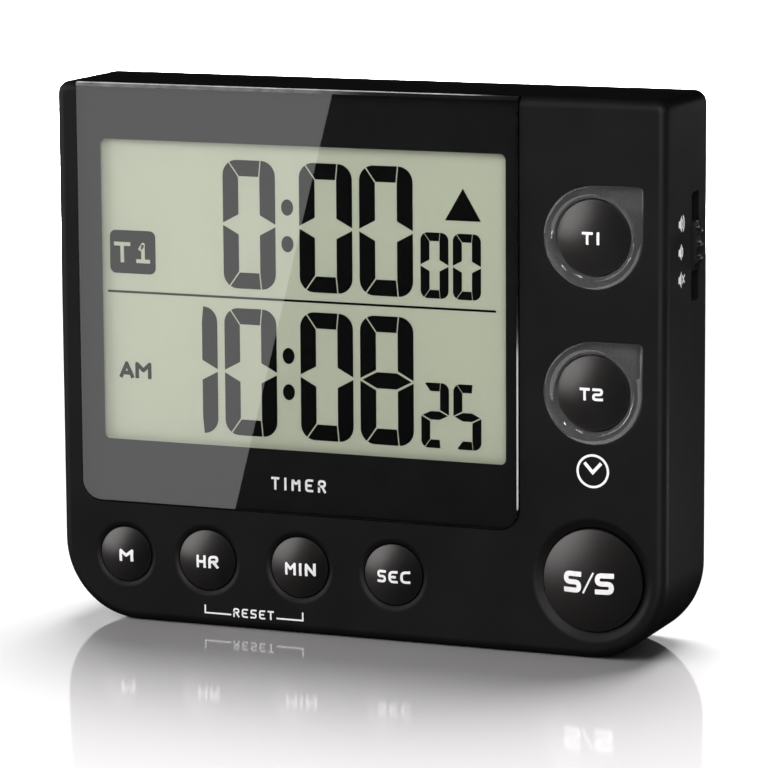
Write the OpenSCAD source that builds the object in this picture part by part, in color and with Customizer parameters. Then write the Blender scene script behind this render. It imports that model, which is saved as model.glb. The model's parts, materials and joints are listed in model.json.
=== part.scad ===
// Two-channel bench timer: a large display and seven domed keys in a shallow case.
// X runs to the right, Y from the front to the back and Z up.
// The origin is on the base, midway across the width and the depth.
// Inside the modules a depth is measured back from the front face.

/* [Case] */
// Width of the case
case_w = 100.4; // [100:0.1:101]
// Height of the case
case_h = 85; // [85:0.5:87]
// Depth of the case from the front face to the back
case_d = 19.5; // [19:0.1:20]
// Thickness of the side and back walls
wall = 1.8; // [1.7:0.1:1.9]
// Thickness of the front wall
front_wall = 2.4; // [2.3:0.1:2.4]
// Depth of the joint between the two housings
seam_d = 11.6; // [11.5:0.1:11.8]
// Radius of the two lower corners
foot_corner_r = 12.5; // [11.5:0.1:13]
// Radius of the two upper corners
top_corner_r = 2; // [2:0.1:4]
// Rounding along the front edge
front_edge_r = 1.6; // [1:0.1:1.8]
// Rounding along the back edge
back_edge_r = 1; // [0.8:0.1:1.4]

/* [Display] */
// Width of the clear panel
panel_w = 73.3; // [72.5:0.1:73.5]
// Height of the clear panel
panel_h = 66; // [65.5:0.1:66]
// Thickness of the clear panel
panel_t = 1.6; // [1.5:0.1:1.7]
// How far the panel stands proud of the face
panel_proud = 0.4; // [0.3:0.05:0.5]
// Radius of the panel's lower corners
panel_corner_r = 3.3; // [2:0.1:4]
// Width of the window behind the panel
window_w = 69.2; // [68:0.1:69.5]
// Height of the window behind the panel
window_h = 49.2; // [48:0.1:49.5]

/* [Keys] */
// Travel of every key
key_travel = 1; // [0.8:0.1:1]
// Radius of the memory key
memory_key_r = 4.35; // [4.2:0.05:4.5]
// Radius of the hour, minute and second keys
setting_key_r = 4.8; // [4.6:0.05:4.9]
// Radius of the two timer keys
timer_key_r = 5.75; // [5.6:0.05:5.8]
// Radius of the start and stop key
start_key_r = 7.9; // [7.5:0.05:7.95]
// Spacing of the hour, minute and second keys
key_pitch = 15.7; // [15.5:0.1:15.8]
// Height of the bottom row of keys
row_z = 10.6; // [10.5:0.1:11]

/* [Volume switch] */
// Height of the middle position of the volume slide
slide_z = 61.9; // [61.5:0.1:62]
// Distance from one position of the slide to the next
slide_step = 4.2; // [4:0.1:4.2]

/* [Stand] */
// Width of the folding stand
stand_w = 40; // [38:0.5:40]
// Height of the stand's hinge above the base
stand_z = 39.4; // [39:0.1:39.5]

/* [Hidden] */
$fn = 64;

// Colours
c_case = "#1d1d1f";
c_key = "#2b2b2d";
c_clear = "#c9d2d4";
c_board = "#1f5a36";
c_metal = "#c4c6c8";
c_rubber = "#8d9196";

// Cutting tools run this far past the faces they cut
over = 1;
// Overlap that joins one feature of a moulding to the next
fuse = 0.4;
// Gap round a fixed piece in its recess
fit_gap = 0.15;
// Gap round a piece that moves
run_gap = 0.2;
// Gap round a piece that drops into a seat
seat_gap = 0.1;
// Gap that only keeps two resting faces apart
rest_gap = 0.05;
// Gap where a turning or sliding piece passes a corner
wide_gap = 0.3;
// How much further a hollow reaches than the solid round it
hair = 0.01;

// Joint between the housings: the lip of the rear one sits in a rebate of the front one
rebate_h = 1.2;
rebate_inset = 0.9;
// Least radius of an inner corner
least_corner_r = 0.3;
lip_play = 0.05;

// Depths of the display stack, front to back
panel_chamfer = 0.6;
adhesive_t = 0.15;
recess_d = panel_t - panel_proud + adhesive_t;
polariser_t = 0.2;
glass_t = 1.1;
cell_gap = 0.05;
polariser_d = front_wall + 0.1;
front_glass_d = polariser_d + polariser_t;
rear_glass_d = front_glass_d + glass_t + cell_gap;
rear_polariser_d = rear_glass_d + glass_t;
tray_floor_d = rear_polariser_d + polariser_t + 0.1;
tray_floor_t = 0.6;
board_d = tray_floor_d + 1.05;
board_t = 1.2;
board_back_d = board_d + board_t;
board_inset = wall + 0.8;

// Display places in X and Z: the panel's left edge and the rectangles of the stack
panel_x = 3.7 - case_w / 2;
window_x = -44.2;
window_z = 27.7;
glass_box = [-46, 25, 26.6, 77.9];
rear_glass_z = 27.8;
polariser_inset = 1;
rear_polariser_z = 28.3;
tray_wall = 1.3;
strip_box = [-40, 25.4, 20, 27.2];
adhesive_inset = 1;
adhesive_top_inset = 1.5;
adhesive_window_gap = 0.4;

// Key places
memory_x = -39.3;
hour_x = -25.25;
column_x = 38.6;
start_z = 12.15;
timer_2_z = 40.75;
timer_1_z = 64.25;
key_places = [[memory_x, row_z], [hour_x, row_z], [hour_x + key_pitch, row_z],
    [hour_x + 2 * key_pitch, row_z], [column_x, start_z], [column_x, timer_2_z],
    [column_x, timer_1_z]];

// Key section: crown heights above the face and depths below it
setting_crown = 0.9;
timer_crown = 1.3;
start_crown = 1.6;
dome_edge_d = 0.3;
start_edge_d = 0.2;
flange_d = front_wall + 0.25;
flange_t = 0.7;
flange_lip = 0.8;
post_r = 1.5;
post_end_d = 3.9;
key_pocket_d = 1.7;
skirt_t = 1.1;
well_chamfer = 0.35;
memory_mouth_r = memory_key_r + 0.7;
setting_mouth_r = setting_key_r + 0.75;
start_mouth_r = 9.45;

// Rubber keypad: web on the board and a hollow dome under each key
mat_d = board_d - 0.8;
dome_base_r = 3.7;
dome_top_r = 2.3;
dome_top_d = post_end_d + 0.1;
dome_crown_t = 0.7;
dome_skin = 0.5;
pill_r = 1.4;
pill_root = 0.1;
boss_clearance = 0.7;
led_clearance = 0.6;

// Light rings
ring_r = 7.75;
ring_hole_r = timer_key_r + run_gap;
ring_depth = 1.5;
ring_proud = 0.25;
ring_corner_r = 0.7;
ring_bevel_r = 0.9;
ring_bevel_end_d = 0.3;
pipe_offset = 6.1;
pipe_r = 1.4;
pipe_end_d = 3.2;
led_r = 1.5;
led_dome_d = 4.9;

// Screws: [x, z] of each
case_screw_places = [[-32.3, 5.2], [24.6, 5.9], [5.4 - case_w / 2, case_h - 3.6],
    [case_w / 2 - 5, case_h - 4.1]];
board_screw_places = [[-30, 21], [10, 21], [column_x, 52.5], [31, 75.4]];
case_boss_r = 2.2;
board_boss_r = 2.1;
rear_boss_r = case_boss_r + 0.4;
board_boss_gap = 0.5;
front_boss_end_d = seam_d - 0.4;
rear_boss_start_d = seam_d - 0.3;
case_pilot_d = front_wall + 2;
board_pilot_d = front_wall + 0.6;
case_thread_r = 1.05;
board_thread_r = 0.75;
thread_play = 0.05;
head_seat_d = 15.4;
case_screw_len = 9;
case_head_r = 1.95;
case_head_t = 1.4;
board_screw_len = 3.9;
board_head_r = 1.6;
board_head_t = 1.1;
cross_slim = 0.25;
cross_reach = 0.6;
cross_floor = 0.4;

// Circuit board and web outlines: an L of a foot and a right-hand column
web_foot_top = 18.6;
web_column_x = 30.8;
web_column_top = 72.5;
board_foot_top = 28;
board_column_x = 28.5;
board_column_top = 77.5;

// Places of the components on the back of the board, [x, z], and their sizes
chip_place = [-8, 15];
chip_r = 6.5;
chip_h = 1.6;
crystal_place = [3, 15];
crystal_r = 1;
crystal_len = 6;
crystal_lead = 0.15;
crystal_lead_half_pitch = 0.4;
crystal_lead_len = 1.4;
crystal_lead_root = 0.3;
can_place = [16, 22];
can_r = 2.5;
can_h = 5;
coil_place = [36, 36];
coil_r = 3;
coil_h = 4;
coil_waist_r = 2.3;
coil_flange_t = 0.7;
transistor_place = [22, 15];
transistor_size = [2.9, 1.4, 1.1];
ceramic_places = [[-19, 20], [-19, 11], [3, 20], [3, 10], [34, 70]];
ceramic_size = [2, 1.25, 0.9];
resistor_places = [[-23, 20], [-23, 17], [-23, 14], [-23, 11], [42, 50], [42, 47], [34, 66], [34, 63]];
resistor_size = [2, 1.25, 0.5];

// Volume switch
slot_depths = [12.1, 15.1];
slot_half = 8.3;
knob_half = 3.8;
shutter_half = 12;
scoop_chord = 16.4;
scoop_sag = 4.6;
scoop_cut = 0.6;
lever_depths = [12.9, 14.3];
lever_half = 0.9;
lever_play = 0.05;
lever_x = 43.5;
lever_end_x = case_w / 2 - 1.1;
switch_x = [41.4, 45.4];
switch_end_d = 15;
switch_half = 6.4;
shutter_depths = [10.6, 15.8];
shutter_t = 1;
shutter_gap = 0.3;
knob_sag = 0.5;
ridge_r = 0.5;
ridge_pitch = 2.1;
ridge_lift = 0.3;

// Battery bay: inside faces
bay_x = [-35.6, 15];
bay_z = [44.6, 66.9];
bay_d = 7;
bay_wall = 1.5;
bay_floor_t = 1;
door_seat_d = case_d - 1.5;
door_over = 1.4;
door_t = 1.45;
door_axis_d = door_seat_d + door_t / 2;
door_axis_z = bay_z[0] - door_over + door_t / 2;
door_grip_w = 12;
door_grip_depth = 0.4;
door_grip_pitch = 1.6;
door_grip_groove = 0.7;
door_grip_top = 2.5;
door_latch_w = 8;
door_latch_len = 1.9;
door_latch_span = [1.3, 0.6];
cell_r = 5.1;
cell_len = 44.5;
nub_r = 1.9;
nub_len = 1;
cell_depth = bay_d + cell_r + 0.1;
upper_cell_z = 61.45;
lower_cell_z = 50.05;
contact_t = 0.3;
contact_bump = 0.7;
tail_depths = [9.9, 10.5];
tail_half = 1;
tail_end_x = 18.4;
tab_w = 6;
tab_places = [-26, 5.4];
tab_len = 2.3;
tab_t = 0.6;
tab_swing_gap = 0.4;
tab_slot_end_d = case_d - 0.7;
tab_slot_overlap = 0.1;
spring_r = 2.6;
spring_wire_r = 0.35;
spring_turns = 3.5;
spring_steps = 14;
spring_flare = 0.9;
spring_play = 0.03;
nub_play = 0.02;
right_nub_x = bay_x[1] - contact_t - contact_bump;
left_nub_x = bay_x[0] + contact_t + contact_bump;
contact_half = 4;
dimple_base_r = 2.2;
dimple_top_r = 1.3;
lead_r = 0.5;
lead_joint_x = 17.6;
lead_board_x = 31;
lead_board_z = [57, 45];
lead_runs = [4.5, 8.5, 9.5];
lead_rise = 1;
lead_bend_depths = [10.5, 10.1, 9.6];
lead_steps = 6;

// Stand and its recess in the back
stand_t = 1.8;
stand_axis_d = case_d - 1.2;
stand_foot_z = 7.4;
stand_gap = 0.4;
stand_recess_top_z = stand_z + stand_t / 2 + wide_gap;
nail_nick_r = 5;
nail_nick_drop = 1;
nail_nick_depth = 1;
stand_floor_d = 16;
stand_wall = 1.2;
stand_corner_r = 4;
stand_border = 9;
stand_head = 7;
stand_relief = 0.9;
trunnion_r = 0.7;
trunnion_len = 1.4;
trunnion_play = 0.06;

// Magnets and buzzer
magnet_places = [[-26, 76], [26, 76]];
magnet_r = 5.5;
magnet_t = 2;
magnet_sink = 0.05;
magnet_boss_r = magnet_r + 1.1;
magnet_boss_d = case_d - magnet_t - 1.4;
buzzer_x = 36;
buzzer_z = 24;
buzzer_r = 10;
buzzer_ledge_d = 16.3;
buzzer_wall = 1;
buzzer_cup_d = buzzer_ledge_d - 0.9;
buzzer_hole_r = buzzer_r - 0.8;
buzzer_ceramic_r = 0.7 * buzzer_r;
buzzer_lead_half_pitch = 3;
buzzer_lead_joint = 1;
buzzer_lead_rise = 6;
buzzer_lead_bend_d = 10;
buzzer_lead_steps = 10;
buzzer_plate_t = 0.3;
buzzer_ceramic_t = 0.2;
sound_hole_r = 0.8;
sound_ring_r = 3;

// ---- Helpers ----

// Moves the face-based frame of the modules to the origin of the part
module at_face() translate([0, -case_d / 2, 0]) children();

// A flat outline drawn in X and Z, made solid between two depths
module slab(d0, d1) translate([0, d1, 0]) rotate([90, 0, 0]) linear_extrude(d1 - d0) children();

// A rectangle from its lowest and highest corners, [x0, z0, x1, z1]
module rect(b) translate([b[0], b[1]]) square([b[2] - b[0], b[3] - b[1]]);

// A round bar or hole along the depth
module rod(x, z, r, d0, d1) translate([x, d0, z]) rotate([-90, 0, 0]) cylinder(r = r, h = d1 - d0);

// A cone along the depth
module taper(x, z, r0, r1, d0, d1)
    translate([x, d0, z]) rotate([-90, 0, 0]) cylinder(r1 = r0, r2 = r1, h = d1 - d0);

// A profile of radius and depth turned about an axis along the depth
module turned(x, z) translate([x, 0, z]) rotate([-90, 0, 0]) rotate_extrude() children();

// A block between two corners, each given as [x, depth, z]
module block(a, b) translate(a) cube(b - a);

// Grows a rectangle by g on every side
function grown(b, g) = [b[0] - g, b[1] - g, b[2] + g, b[3] + g];

function unit(v) = v / norm(v);
function tangent(p, i) = unit(p[min(i + 1, len(p) - 1)] - p[max(i - 1, 0)]);

// A round wire along a list of points; ref is a direction that the wire never takes
module wire(points, r, ref) {
    sides = 8;
    n = len(points);
    rings = [for (i = [0:n - 1])
        let (t = tangent(points, i), u = unit(cross(ref, t)), v = cross(t, u))
            for (k = [0:sides - 1])
                points[i] + r * (cos(360 * k / sides) * u + sin(360 * k / sides) * v)];
    walls = [for (i = [0:n - 2], k = [0:sides - 1])
        let (a = i * sides + k, b = i * sides + (k + 1) % sides)
            each [[a, a + sides, b + sides], [a, b + sides, b]]];
    first = [for (k = [0:sides - 1]) k];
    last = [for (k = [0:sides - 1]) n * sides - 1 - k];
    polyhedron(points = rings, faces = concat(walls, [first, last]));
}

// Quadratic curve through a bend: start, corner and end
function bend(a, b, c, steps) =
    [for (i = [0:steps]) let (t = i / steps) (1 - t) * (1 - t) * a + 2 * t * (1 - t) * b + t * t * c];

// ---- Case shape ----

// The case outline in X and Z, drawn in by inset
module case_outline(inset = 0) {
    half = case_w / 2 - inset;
    foot_r = foot_corner_r - inset;
    top_r = max(top_corner_r - inset, least_corner_r);
    top_z = case_h - inset - top_r;
    for (side = [-1, 1]) {
        translate([side * (half - foot_r), foot_corner_r]) circle(foot_r);
        translate([side * (half - top_r), top_z]) circle(top_r);
    }
    rect([foot_r - half, inset, half - foot_r, foot_corner_r]);
    rect([-half, foot_corner_r, half, top_z]);
    rect([top_r - half, foot_corner_r, half - top_r, case_h - inset]);
}

// Section of the case from an axis out to its rim, w away: x is the distance and y the depth
module rim_section(w)
    difference() {
        square([w, case_d]);
        difference() {
            translate([w - front_edge_r, -over]) square(front_edge_r + over);
            translate([w - front_edge_r, front_edge_r]) circle(front_edge_r);
        }
        difference() {
            translate([w - back_edge_r, case_d - back_edge_r]) square(back_edge_r + over);
            translate([w - back_edge_r, case_d - back_edge_r]) circle(back_edge_r);
        }
    }

// A quarter-round corner of the case; a turns it from the corner towards +X and -Z
module case_corner(x, z, r, a)
    translate([x, 0, z]) rotate([-90, 0, 0]) rotate([0, 0, a]) rotate_extrude(angle = 90) rim_section(r);

// A straight edge of the case; tilt turns it from one that runs up the right-hand side
module case_edge(x, z, r, tilt, length)
    translate([x, 0, z]) rotate([0, tilt, 0]) linear_extrude(length) rim_section(r);

// The whole case as one rounded solid
module case_body() {
    foot_x = case_w / 2 - foot_corner_r;
    top_x = case_w / 2 - top_corner_r;
    top_z = case_h - top_corner_r;
    case_corner(foot_x, foot_corner_r, foot_corner_r, 0);
    case_corner(-foot_x, foot_corner_r, foot_corner_r, 90);
    case_corner(-top_x, top_z, top_corner_r, 180);
    case_corner(top_x, top_z, top_corner_r, 270);
    case_edge(top_x, foot_corner_r, top_corner_r, 0, top_z - foot_corner_r);
    mirror([1, 0, 0])
        case_edge(top_x, foot_corner_r, top_corner_r, 0, top_z - foot_corner_r);
    case_edge(-foot_x, top_corner_r, top_corner_r, 90, 2 * foot_x);
    case_edge(top_x, top_z, top_corner_r, -90, 2 * top_x);
    block([-foot_x, 0, top_corner_r], [foot_x, case_d, top_z]);
    block([-top_x, 0, foot_corner_r], [top_x, case_d, top_z]);
}

// A block larger than the case, used to keep one side of the seam
module seam_cut(d0, d1)
    block([-case_w, d0, -over], [case_w, d1, case_h + over]);

// ---- Panel and display ----

module panel_outline(gap = 0) {
    x0 = panel_x - gap;
    x1 = panel_x + panel_w + gap;
    z0 = case_h - panel_h - gap;
    r = panel_corner_r + gap;
    for (x = [x0 + r, x1 - r])
        translate([x, z0 + r]) circle(r);
    rect([x0 + r, z0, x1 - r, case_h]);
    rect([x0, z0 + r, x1, case_h]);
}

module window_outline(gap = 0)
    rect(grown([window_x, window_z, window_x + window_w, window_z + window_h], gap));

module display_panel()
    color(c_clear, 0.5) at_face()
        difference() {
            slab(-panel_proud, panel_t - panel_proud) panel_outline();
            translate([0, -panel_proud, case_h]) rotate([45, 0, 0])
                cube([2 * case_w, panel_chamfer * sqrt(2), panel_chamfer * sqrt(2)], center = true);
        }

module panel_adhesive()
    color("#26262a") at_face()
        slab(panel_t - panel_proud, recess_d)
            difference() {
                rect([panel_x + adhesive_inset, case_h - panel_h + adhesive_inset,
                    panel_x + panel_w - adhesive_inset, case_h - adhesive_top_inset]);
                window_outline(adhesive_window_gap);
            }

module front_polariser()
    color(c_clear, 0.4) at_face()
        slab(polariser_d, front_glass_d)
            rect([glass_box[0] + polariser_inset, rear_glass_z - polariser_inset,
                glass_box[2] - polariser_inset, glass_box[3] - polariser_inset]);

module lcd_front_glass()
    color(c_clear, 0.5) at_face() slab(front_glass_d, front_glass_d + glass_t) rect(glass_box);

module lcd_rear_glass()
    color(c_clear, 0.5) at_face()
        slab(rear_glass_d, rear_glass_d + glass_t)
            rect([glass_box[0], rear_glass_z, glass_box[2], glass_box[3]]);

module rear_polariser()
    color("#b4bba0") at_face()
        slab(rear_polariser_d, rear_polariser_d + polariser_t)
            rect([glass_box[0] + polariser_inset, rear_polariser_z,
                glass_box[2] - polariser_inset, glass_box[3] - polariser_inset]);

module lcd_tray()
    color("#d9d9d4") at_face()
        difference() {
            slab(polariser_d, tray_floor_d + tray_floor_t) rect(grown(glass_box, tray_wall - fit_gap));
            slab(polariser_d - over, tray_floor_d) rect(grown(glass_box, fit_gap));
            slab(tray_floor_d - over, board_d) rect(grown(strip_box, fit_gap));
        }

module contact_strip()
    color("#e7a7b4") at_face() slab(front_glass_d + glass_t, board_d) rect(strip_box);

// ---- Keys ----

// Radius of the sphere whose cap has the given base radius and height
function cap_r(r, sag) = (r * r + sag * sag) / (2 * sag);

// A moulded key cap: crowned top, skirt, retaining flange and central post
module key_cap(place, r, crown, edge_d) {
    ball_r = cap_r(r, crown + edge_d);
    skirt_end = flange_d + flange_t;
    difference() {
        union() {
            intersection() {
                translate([place[0], ball_r - crown, place[1]]) sphere(ball_r, $fn = 120);
                rod(place[0], place[1], r, -crown - over, skirt_end);
            }
            rod(place[0], place[1], r + flange_lip, flange_d, skirt_end);
        }
        rod(place[0], place[1], r - skirt_t, key_pocket_d, skirt_end + over);
    }
    rod(place[0], place[1], post_r, key_pocket_d - fuse, post_end_d);
}

// The hole that a key moves in, with a bevelled mouth
module key_well(place, bore_r, mouth_r, depth) {
    rod(place[0], place[1], bore_r, -over, front_wall + over);
    taper(place[0], place[1], mouth_r + (mouth_r - bore_r) * over / depth, bore_r, -over, depth);
}

// A key of the bottom row, at place i
module setting_key(i, r)
    color(c_key) at_face() key_cap(key_places[i], r, setting_crown, dome_edge_d);

// A key inside a light ring, at place i
module timer_key(i)
    color(c_key) at_face() key_cap(key_places[i], timer_key_r, timer_crown, dome_edge_d);

module memory_key() setting_key(0, memory_key_r);
module hour_key() setting_key(1, setting_key_r);
module minute_key() setting_key(2, setting_key_r);
module second_key() setting_key(3, setting_key_r);
module start_stop_key()
    color(c_key) at_face() key_cap(key_places[4], start_key_r, start_crown, start_edge_d);
module timer_2_key() timer_key(5);
module timer_1_key() timer_key(6);

// One rubber dome: a hollow cone with a contact pill inside its crown
module rubber_dome(x, z) {
    inside_d = dome_top_d + dome_crown_t;
    difference() {
        taper(x, z, dome_top_r, dome_base_r, dome_top_d, mat_d + fuse);
        taper(x, z, dome_top_r - dome_skin, dome_base_r - dome_skin, inside_d, mat_d + fuse + hair);
    }
    rod(x, z, pill_r, inside_d - pill_root, board_d - key_travel);
}

module keypad_mat()
    color(c_rubber) at_face() {
        slab(mat_d, board_d)
            difference() {
                intersection() {
                    union() {
                        rect([-case_w / 2, 0, case_w / 2, web_foot_top]);
                        rect([web_column_x, web_foot_top - over, case_w / 2, web_column_top]);
                    }
                    case_outline(board_inset);
                }
                for (place = key_places)
                    translate(place) circle(dome_base_r - dome_skin);
                for (place = case_screw_places)
                    translate(place) circle(case_boss_r + boss_clearance);
                for (place = board_screw_places)
                    translate(place) circle(board_boss_r + boss_clearance);
                for (z = [timer_1_z, timer_2_z])
                    translate([column_x + pipe_offset, z + pipe_offset]) circle(led_r + led_clearance);
            }
        for (place = key_places)
            rubber_dome(place[0], place[1]);
    }

// ---- Light rings ----

// A circle with one square corner, towards +X and +Z
module teardrop(r, corner_r) {
    circle(r);
    square([r, r - corner_r]);
    square([r - corner_r, r]);
    translate([r - corner_r, r - corner_r]) circle(corner_r);
}

// The clear ring round a timer key, with the light pipe behind its square corner
module light_ring(z) {
    difference() {
        slab(-ring_proud, ring_depth) translate([column_x, z]) teardrop(ring_r, ring_corner_r);
        rod(column_x, z, ring_hole_r, -over, ring_depth + over);
        taper(column_x, z, ring_hole_r + ring_bevel_r, ring_hole_r,
            -ring_proud - ring_bevel_end_d, ring_bevel_end_d);
    }
    rod(column_x + pipe_offset, z + pipe_offset, pipe_r, ring_depth - fuse, pipe_end_d);
}

// What a light ring takes out of the front wall
module light_ring_seat(z) {
    slab(-over, ring_depth) translate([column_x, z]) teardrop(ring_r + seat_gap, ring_corner_r);
    rod(column_x, z, ring_hole_r, 0, front_wall + over);
    rod(column_x + pipe_offset, z + pipe_offset, pipe_r + seat_gap, 0, front_wall + over);
}

module timer_1_light_ring() color(c_clear, 0.6) at_face() light_ring(timer_1_z);
module timer_2_light_ring() color(c_clear, 0.6) at_face() light_ring(timer_2_z);

// A small domed lamp on the board, behind a light pipe
module led(z)
    translate([column_x + pipe_offset, 0, z + pipe_offset]) {
        rod(0, 0, led_r, led_dome_d, board_d);
        intersection() {
            translate([0, led_dome_d, 0]) sphere(led_r);
            rod(0, 0, led_r + over, led_dome_d - led_r - over, led_dome_d + fuse);
        }
    }

module timer_1_led() color("#d8403a", 0.8) at_face() led(timer_1_z);
module timer_2_led() color("#d8403a", 0.8) at_face() led(timer_2_z);

// ---- Housings ----

// Front moulding: face, key wells, panel recess and the bosses for both sets of screws
module front_housing()
    color(c_case) at_face()
        difference() {
            union() {
                difference() {
                    case_body();
                    seam_cut(seam_d, case_d + over);
                    slab(front_wall, seam_d + over) case_outline(wall);
                }
                for (place = case_screw_places)
                    rod(place[0], place[1], case_boss_r, front_wall - fuse, front_boss_end_d);
                for (place = board_screw_places)
                    rod(place[0], place[1], board_boss_r, front_wall - fuse, board_d);
            }
            slab(seam_d - rebate_h, seam_d + over)
                difference() {
                    case_outline(rebate_inset);
                    case_outline(wall);
                }
            slab(-over, recess_d) {
                panel_outline(fit_gap);
                rect([panel_x - fit_gap, case_h - over, panel_x + panel_w + fit_gap, case_h + over]);
            }
            slab(-over, front_wall + over) window_outline();
            key_well(key_places[0], memory_key_r + fit_gap, memory_mouth_r, well_chamfer);
            for (i = [1:3])
                key_well(key_places[i], setting_key_r + fit_gap, setting_mouth_r, well_chamfer);
            key_well(key_places[4], start_key_r + run_gap, start_mouth_r, 2 * well_chamfer);
            for (z = [timer_1_z, timer_2_z])
                light_ring_seat(z);
            for (place = case_screw_places)
                rod(place[0], place[1], case_thread_r + thread_play, case_pilot_d, seam_d);
            for (place = board_screw_places)
                rod(place[0], place[1], board_thread_r + thread_play, board_pilot_d, board_d + over);
        }

// The slot and finger scoop for the volume knob, in the right wall
module volume_slot() {
    half = case_w / 2;
    ball = cap_r(scoop_chord / 2, scoop_sag);
    block([half - wall - over, slot_depths[0], slide_z - slot_half],
        [half + over, slot_depths[1], slide_z + slot_half]);
    translate([half - scoop_cut, seam_d + scoop_sag - ball, slide_z]) rotate([0, 90, 0])
        cylinder(r = ball, h = scoop_cut + over);
}

// The seven holes in front of the buzzer
module sound_holes() {
    rod(buzzer_x, buzzer_z, sound_hole_r, case_d - wall - over, case_d + over);
    for (a = [0:60:300])
        rod(buzzer_x + sound_ring_r * cos(a), buzzer_z + sound_ring_r * sin(a), sound_hole_r,
            case_d - wall - over, case_d + over);
}

// Features that the back wall carries on its inside
module rear_bosses() {
    back_d = case_d - wall + fuse;
    bay_box = [bay_x[0], bay_z[0], bay_x[1], bay_z[1]];
    stand_half = stand_w / 2 + stand_gap + stand_wall;
    slab(bay_d - bay_floor_t, back_d) rect(grown(bay_box, bay_wall));
    slab(stand_floor_d - stand_wall, back_d)
        rect([-stand_half, stand_foot_z - stand_gap - stand_wall, stand_half,
            stand_recess_top_z + stand_wall]);
    for (place = case_screw_places)
        rod(place[0], place[1], rear_boss_r, rear_boss_start_d, back_d);
    for (place = magnet_places)
        rod(place[0], place[1], magnet_boss_r, magnet_boss_d, back_d);
    difference() {
        rod(buzzer_x, buzzer_z, buzzer_r + buzzer_wall, buzzer_cup_d, back_d);
        rod(buzzer_x, buzzer_z, buzzer_hole_r, buzzer_ledge_d - over, back_d + over);
        rod(buzzer_x, buzzer_z, buzzer_r + seat_gap, buzzer_ledge_d - over, buzzer_ledge_d);
    }
}

// Everything that is open to the back: bay, door seat, stand recess and screw holes
module rear_cuts() {
    out_d = case_d + over;
    stand_half = stand_w / 2 + stand_gap;
    slab(bay_d, out_d) rect([bay_x[0], bay_z[0], bay_x[1], bay_z[1]]);
    slab(door_seat_d, out_d)
        rect(grown([bay_x[0], bay_z[0], bay_x[1], bay_z[1]], door_over + run_gap));
    for (x = tab_places)
        block([x - tab_w / 2 - wide_gap, door_axis_d - tab_len - tab_swing_gap,
                door_axis_z - tab_len - wide_gap],
            [x + tab_w / 2 + wide_gap, tab_slot_end_d, bay_z[0] + tab_slot_overlap]);
    for (z = [upper_cell_z, lower_cell_z])
        block([bay_x[1] - over, tail_depths[0], z - tail_half - run_gap],
            [bay_x[1] + bay_wall + over, tail_depths[1], z + tail_half + run_gap]);
    slab(stand_floor_d, out_d)
        rect([-stand_half, stand_foot_z - stand_gap, stand_half, stand_recess_top_z]);
    rod(0, stand_foot_z - nail_nick_drop, nail_nick_r, case_d - nail_nick_depth, out_d);
    translate([-stand_half - trunnion_len, stand_axis_d, stand_z]) rotate([0, 90, 0])
        cylinder(r = trunnion_r + trunnion_play, h = 2 * (stand_half + trunnion_len));
    for (place = magnet_places)
        rod(place[0], place[1], magnet_r + seat_gap, case_d - magnet_t - magnet_sink, out_d);
    for (place = case_screw_places) {
        rod(place[0], place[1], case_thread_r + run_gap, seam_d - over, out_d);
        rod(place[0], place[1], case_boss_r, head_seat_d, out_d);
    }
}

// Rear moulding: back wall, battery bay, stand recess and the lip that enters the front one
module rear_housing()
    color(c_case) at_face()
        difference() {
            union() {
                difference() {
                    case_body();
                    seam_cut(-over, seam_d);
                    slab(seam_d - over, case_d - wall) case_outline(wall);
                }
                slab(seam_d - rebate_h + seat_gap, seam_d + fuse)
                    difference() {
                        case_outline(rebate_inset + lip_play);
                        case_outline(wall - lip_play);
                    }
                rear_bosses();
            }
            rear_cuts();
            volume_slot();
            sound_holes();
        }

// ---- Back fittings ----

// Battery door: a plate with a round hinge bead, two hinge tabs, a latch and grip grooves
module battery_door()
    color(c_case) at_face() {
        x0 = bay_x[0] - door_over;
        x1 = bay_x[1] + door_over;
        grip_x = (x0 + x1) / 2;
        difference() {
            slab(door_seat_d, door_seat_d + door_t)
                rect([x0, door_axis_z, x1, bay_z[1] + door_over]);
            for (i = [0:3]) {
                groove_z = bay_z[1] - door_grip_top - door_grip_pitch * i;
                block([grip_x - door_grip_w / 2, case_d - door_grip_depth, groove_z],
                    [grip_x + door_grip_w / 2, case_d + over, groove_z + door_grip_groove]);
            }
        }
        translate([x0, door_axis_d, door_axis_z]) rotate([0, 90, 0])
            cylinder(r = door_t / 2, h = x1 - x0);
        for (x = tab_places)
            block([x - tab_w / 2, door_seat_d + rest_gap, door_axis_z - tab_len],
                [x + tab_w / 2, door_seat_d + rest_gap + tab_t, door_axis_z]);
        block([grip_x - door_latch_w / 2, door_seat_d - door_latch_len, bay_z[1] - door_latch_span[0]],
            [grip_x + door_latch_w / 2, door_seat_d + fuse, bay_z[1] - door_latch_span[1]]);
    }

// Folding stand: a plate with rounded feet, a shallow relief in its outer face and two trunnions
module stand()
    color(c_case) at_face() {
        half = stand_w / 2;
        front_d = stand_axis_d - stand_t / 2;
        reach = stand_gap + trunnion_len - wide_gap;
        difference() {
            slab(front_d, front_d + stand_t) {
                rect([-half, stand_foot_z + stand_corner_r, half, stand_z]);
                rect([stand_corner_r - half, stand_foot_z, half - stand_corner_r, stand_z]);
                for (x = [stand_corner_r - half, half - stand_corner_r])
                    translate([x, stand_foot_z + stand_corner_r]) circle(stand_corner_r);
            }
            slab(front_d + stand_t - stand_relief, front_d + stand_t + over)
                rect([stand_border - half, stand_foot_z + stand_border, half - stand_border,
                    stand_z - stand_head]);
        }
        translate([-half, stand_axis_d, stand_z]) rotate([0, 90, 0])
            cylinder(r = stand_t / 2, h = stand_w);
        translate([-half - reach, stand_axis_d, stand_z]) rotate([0, 90, 0])
            cylinder(r = trunnion_r, h = stand_w + 2 * reach);
    }

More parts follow.
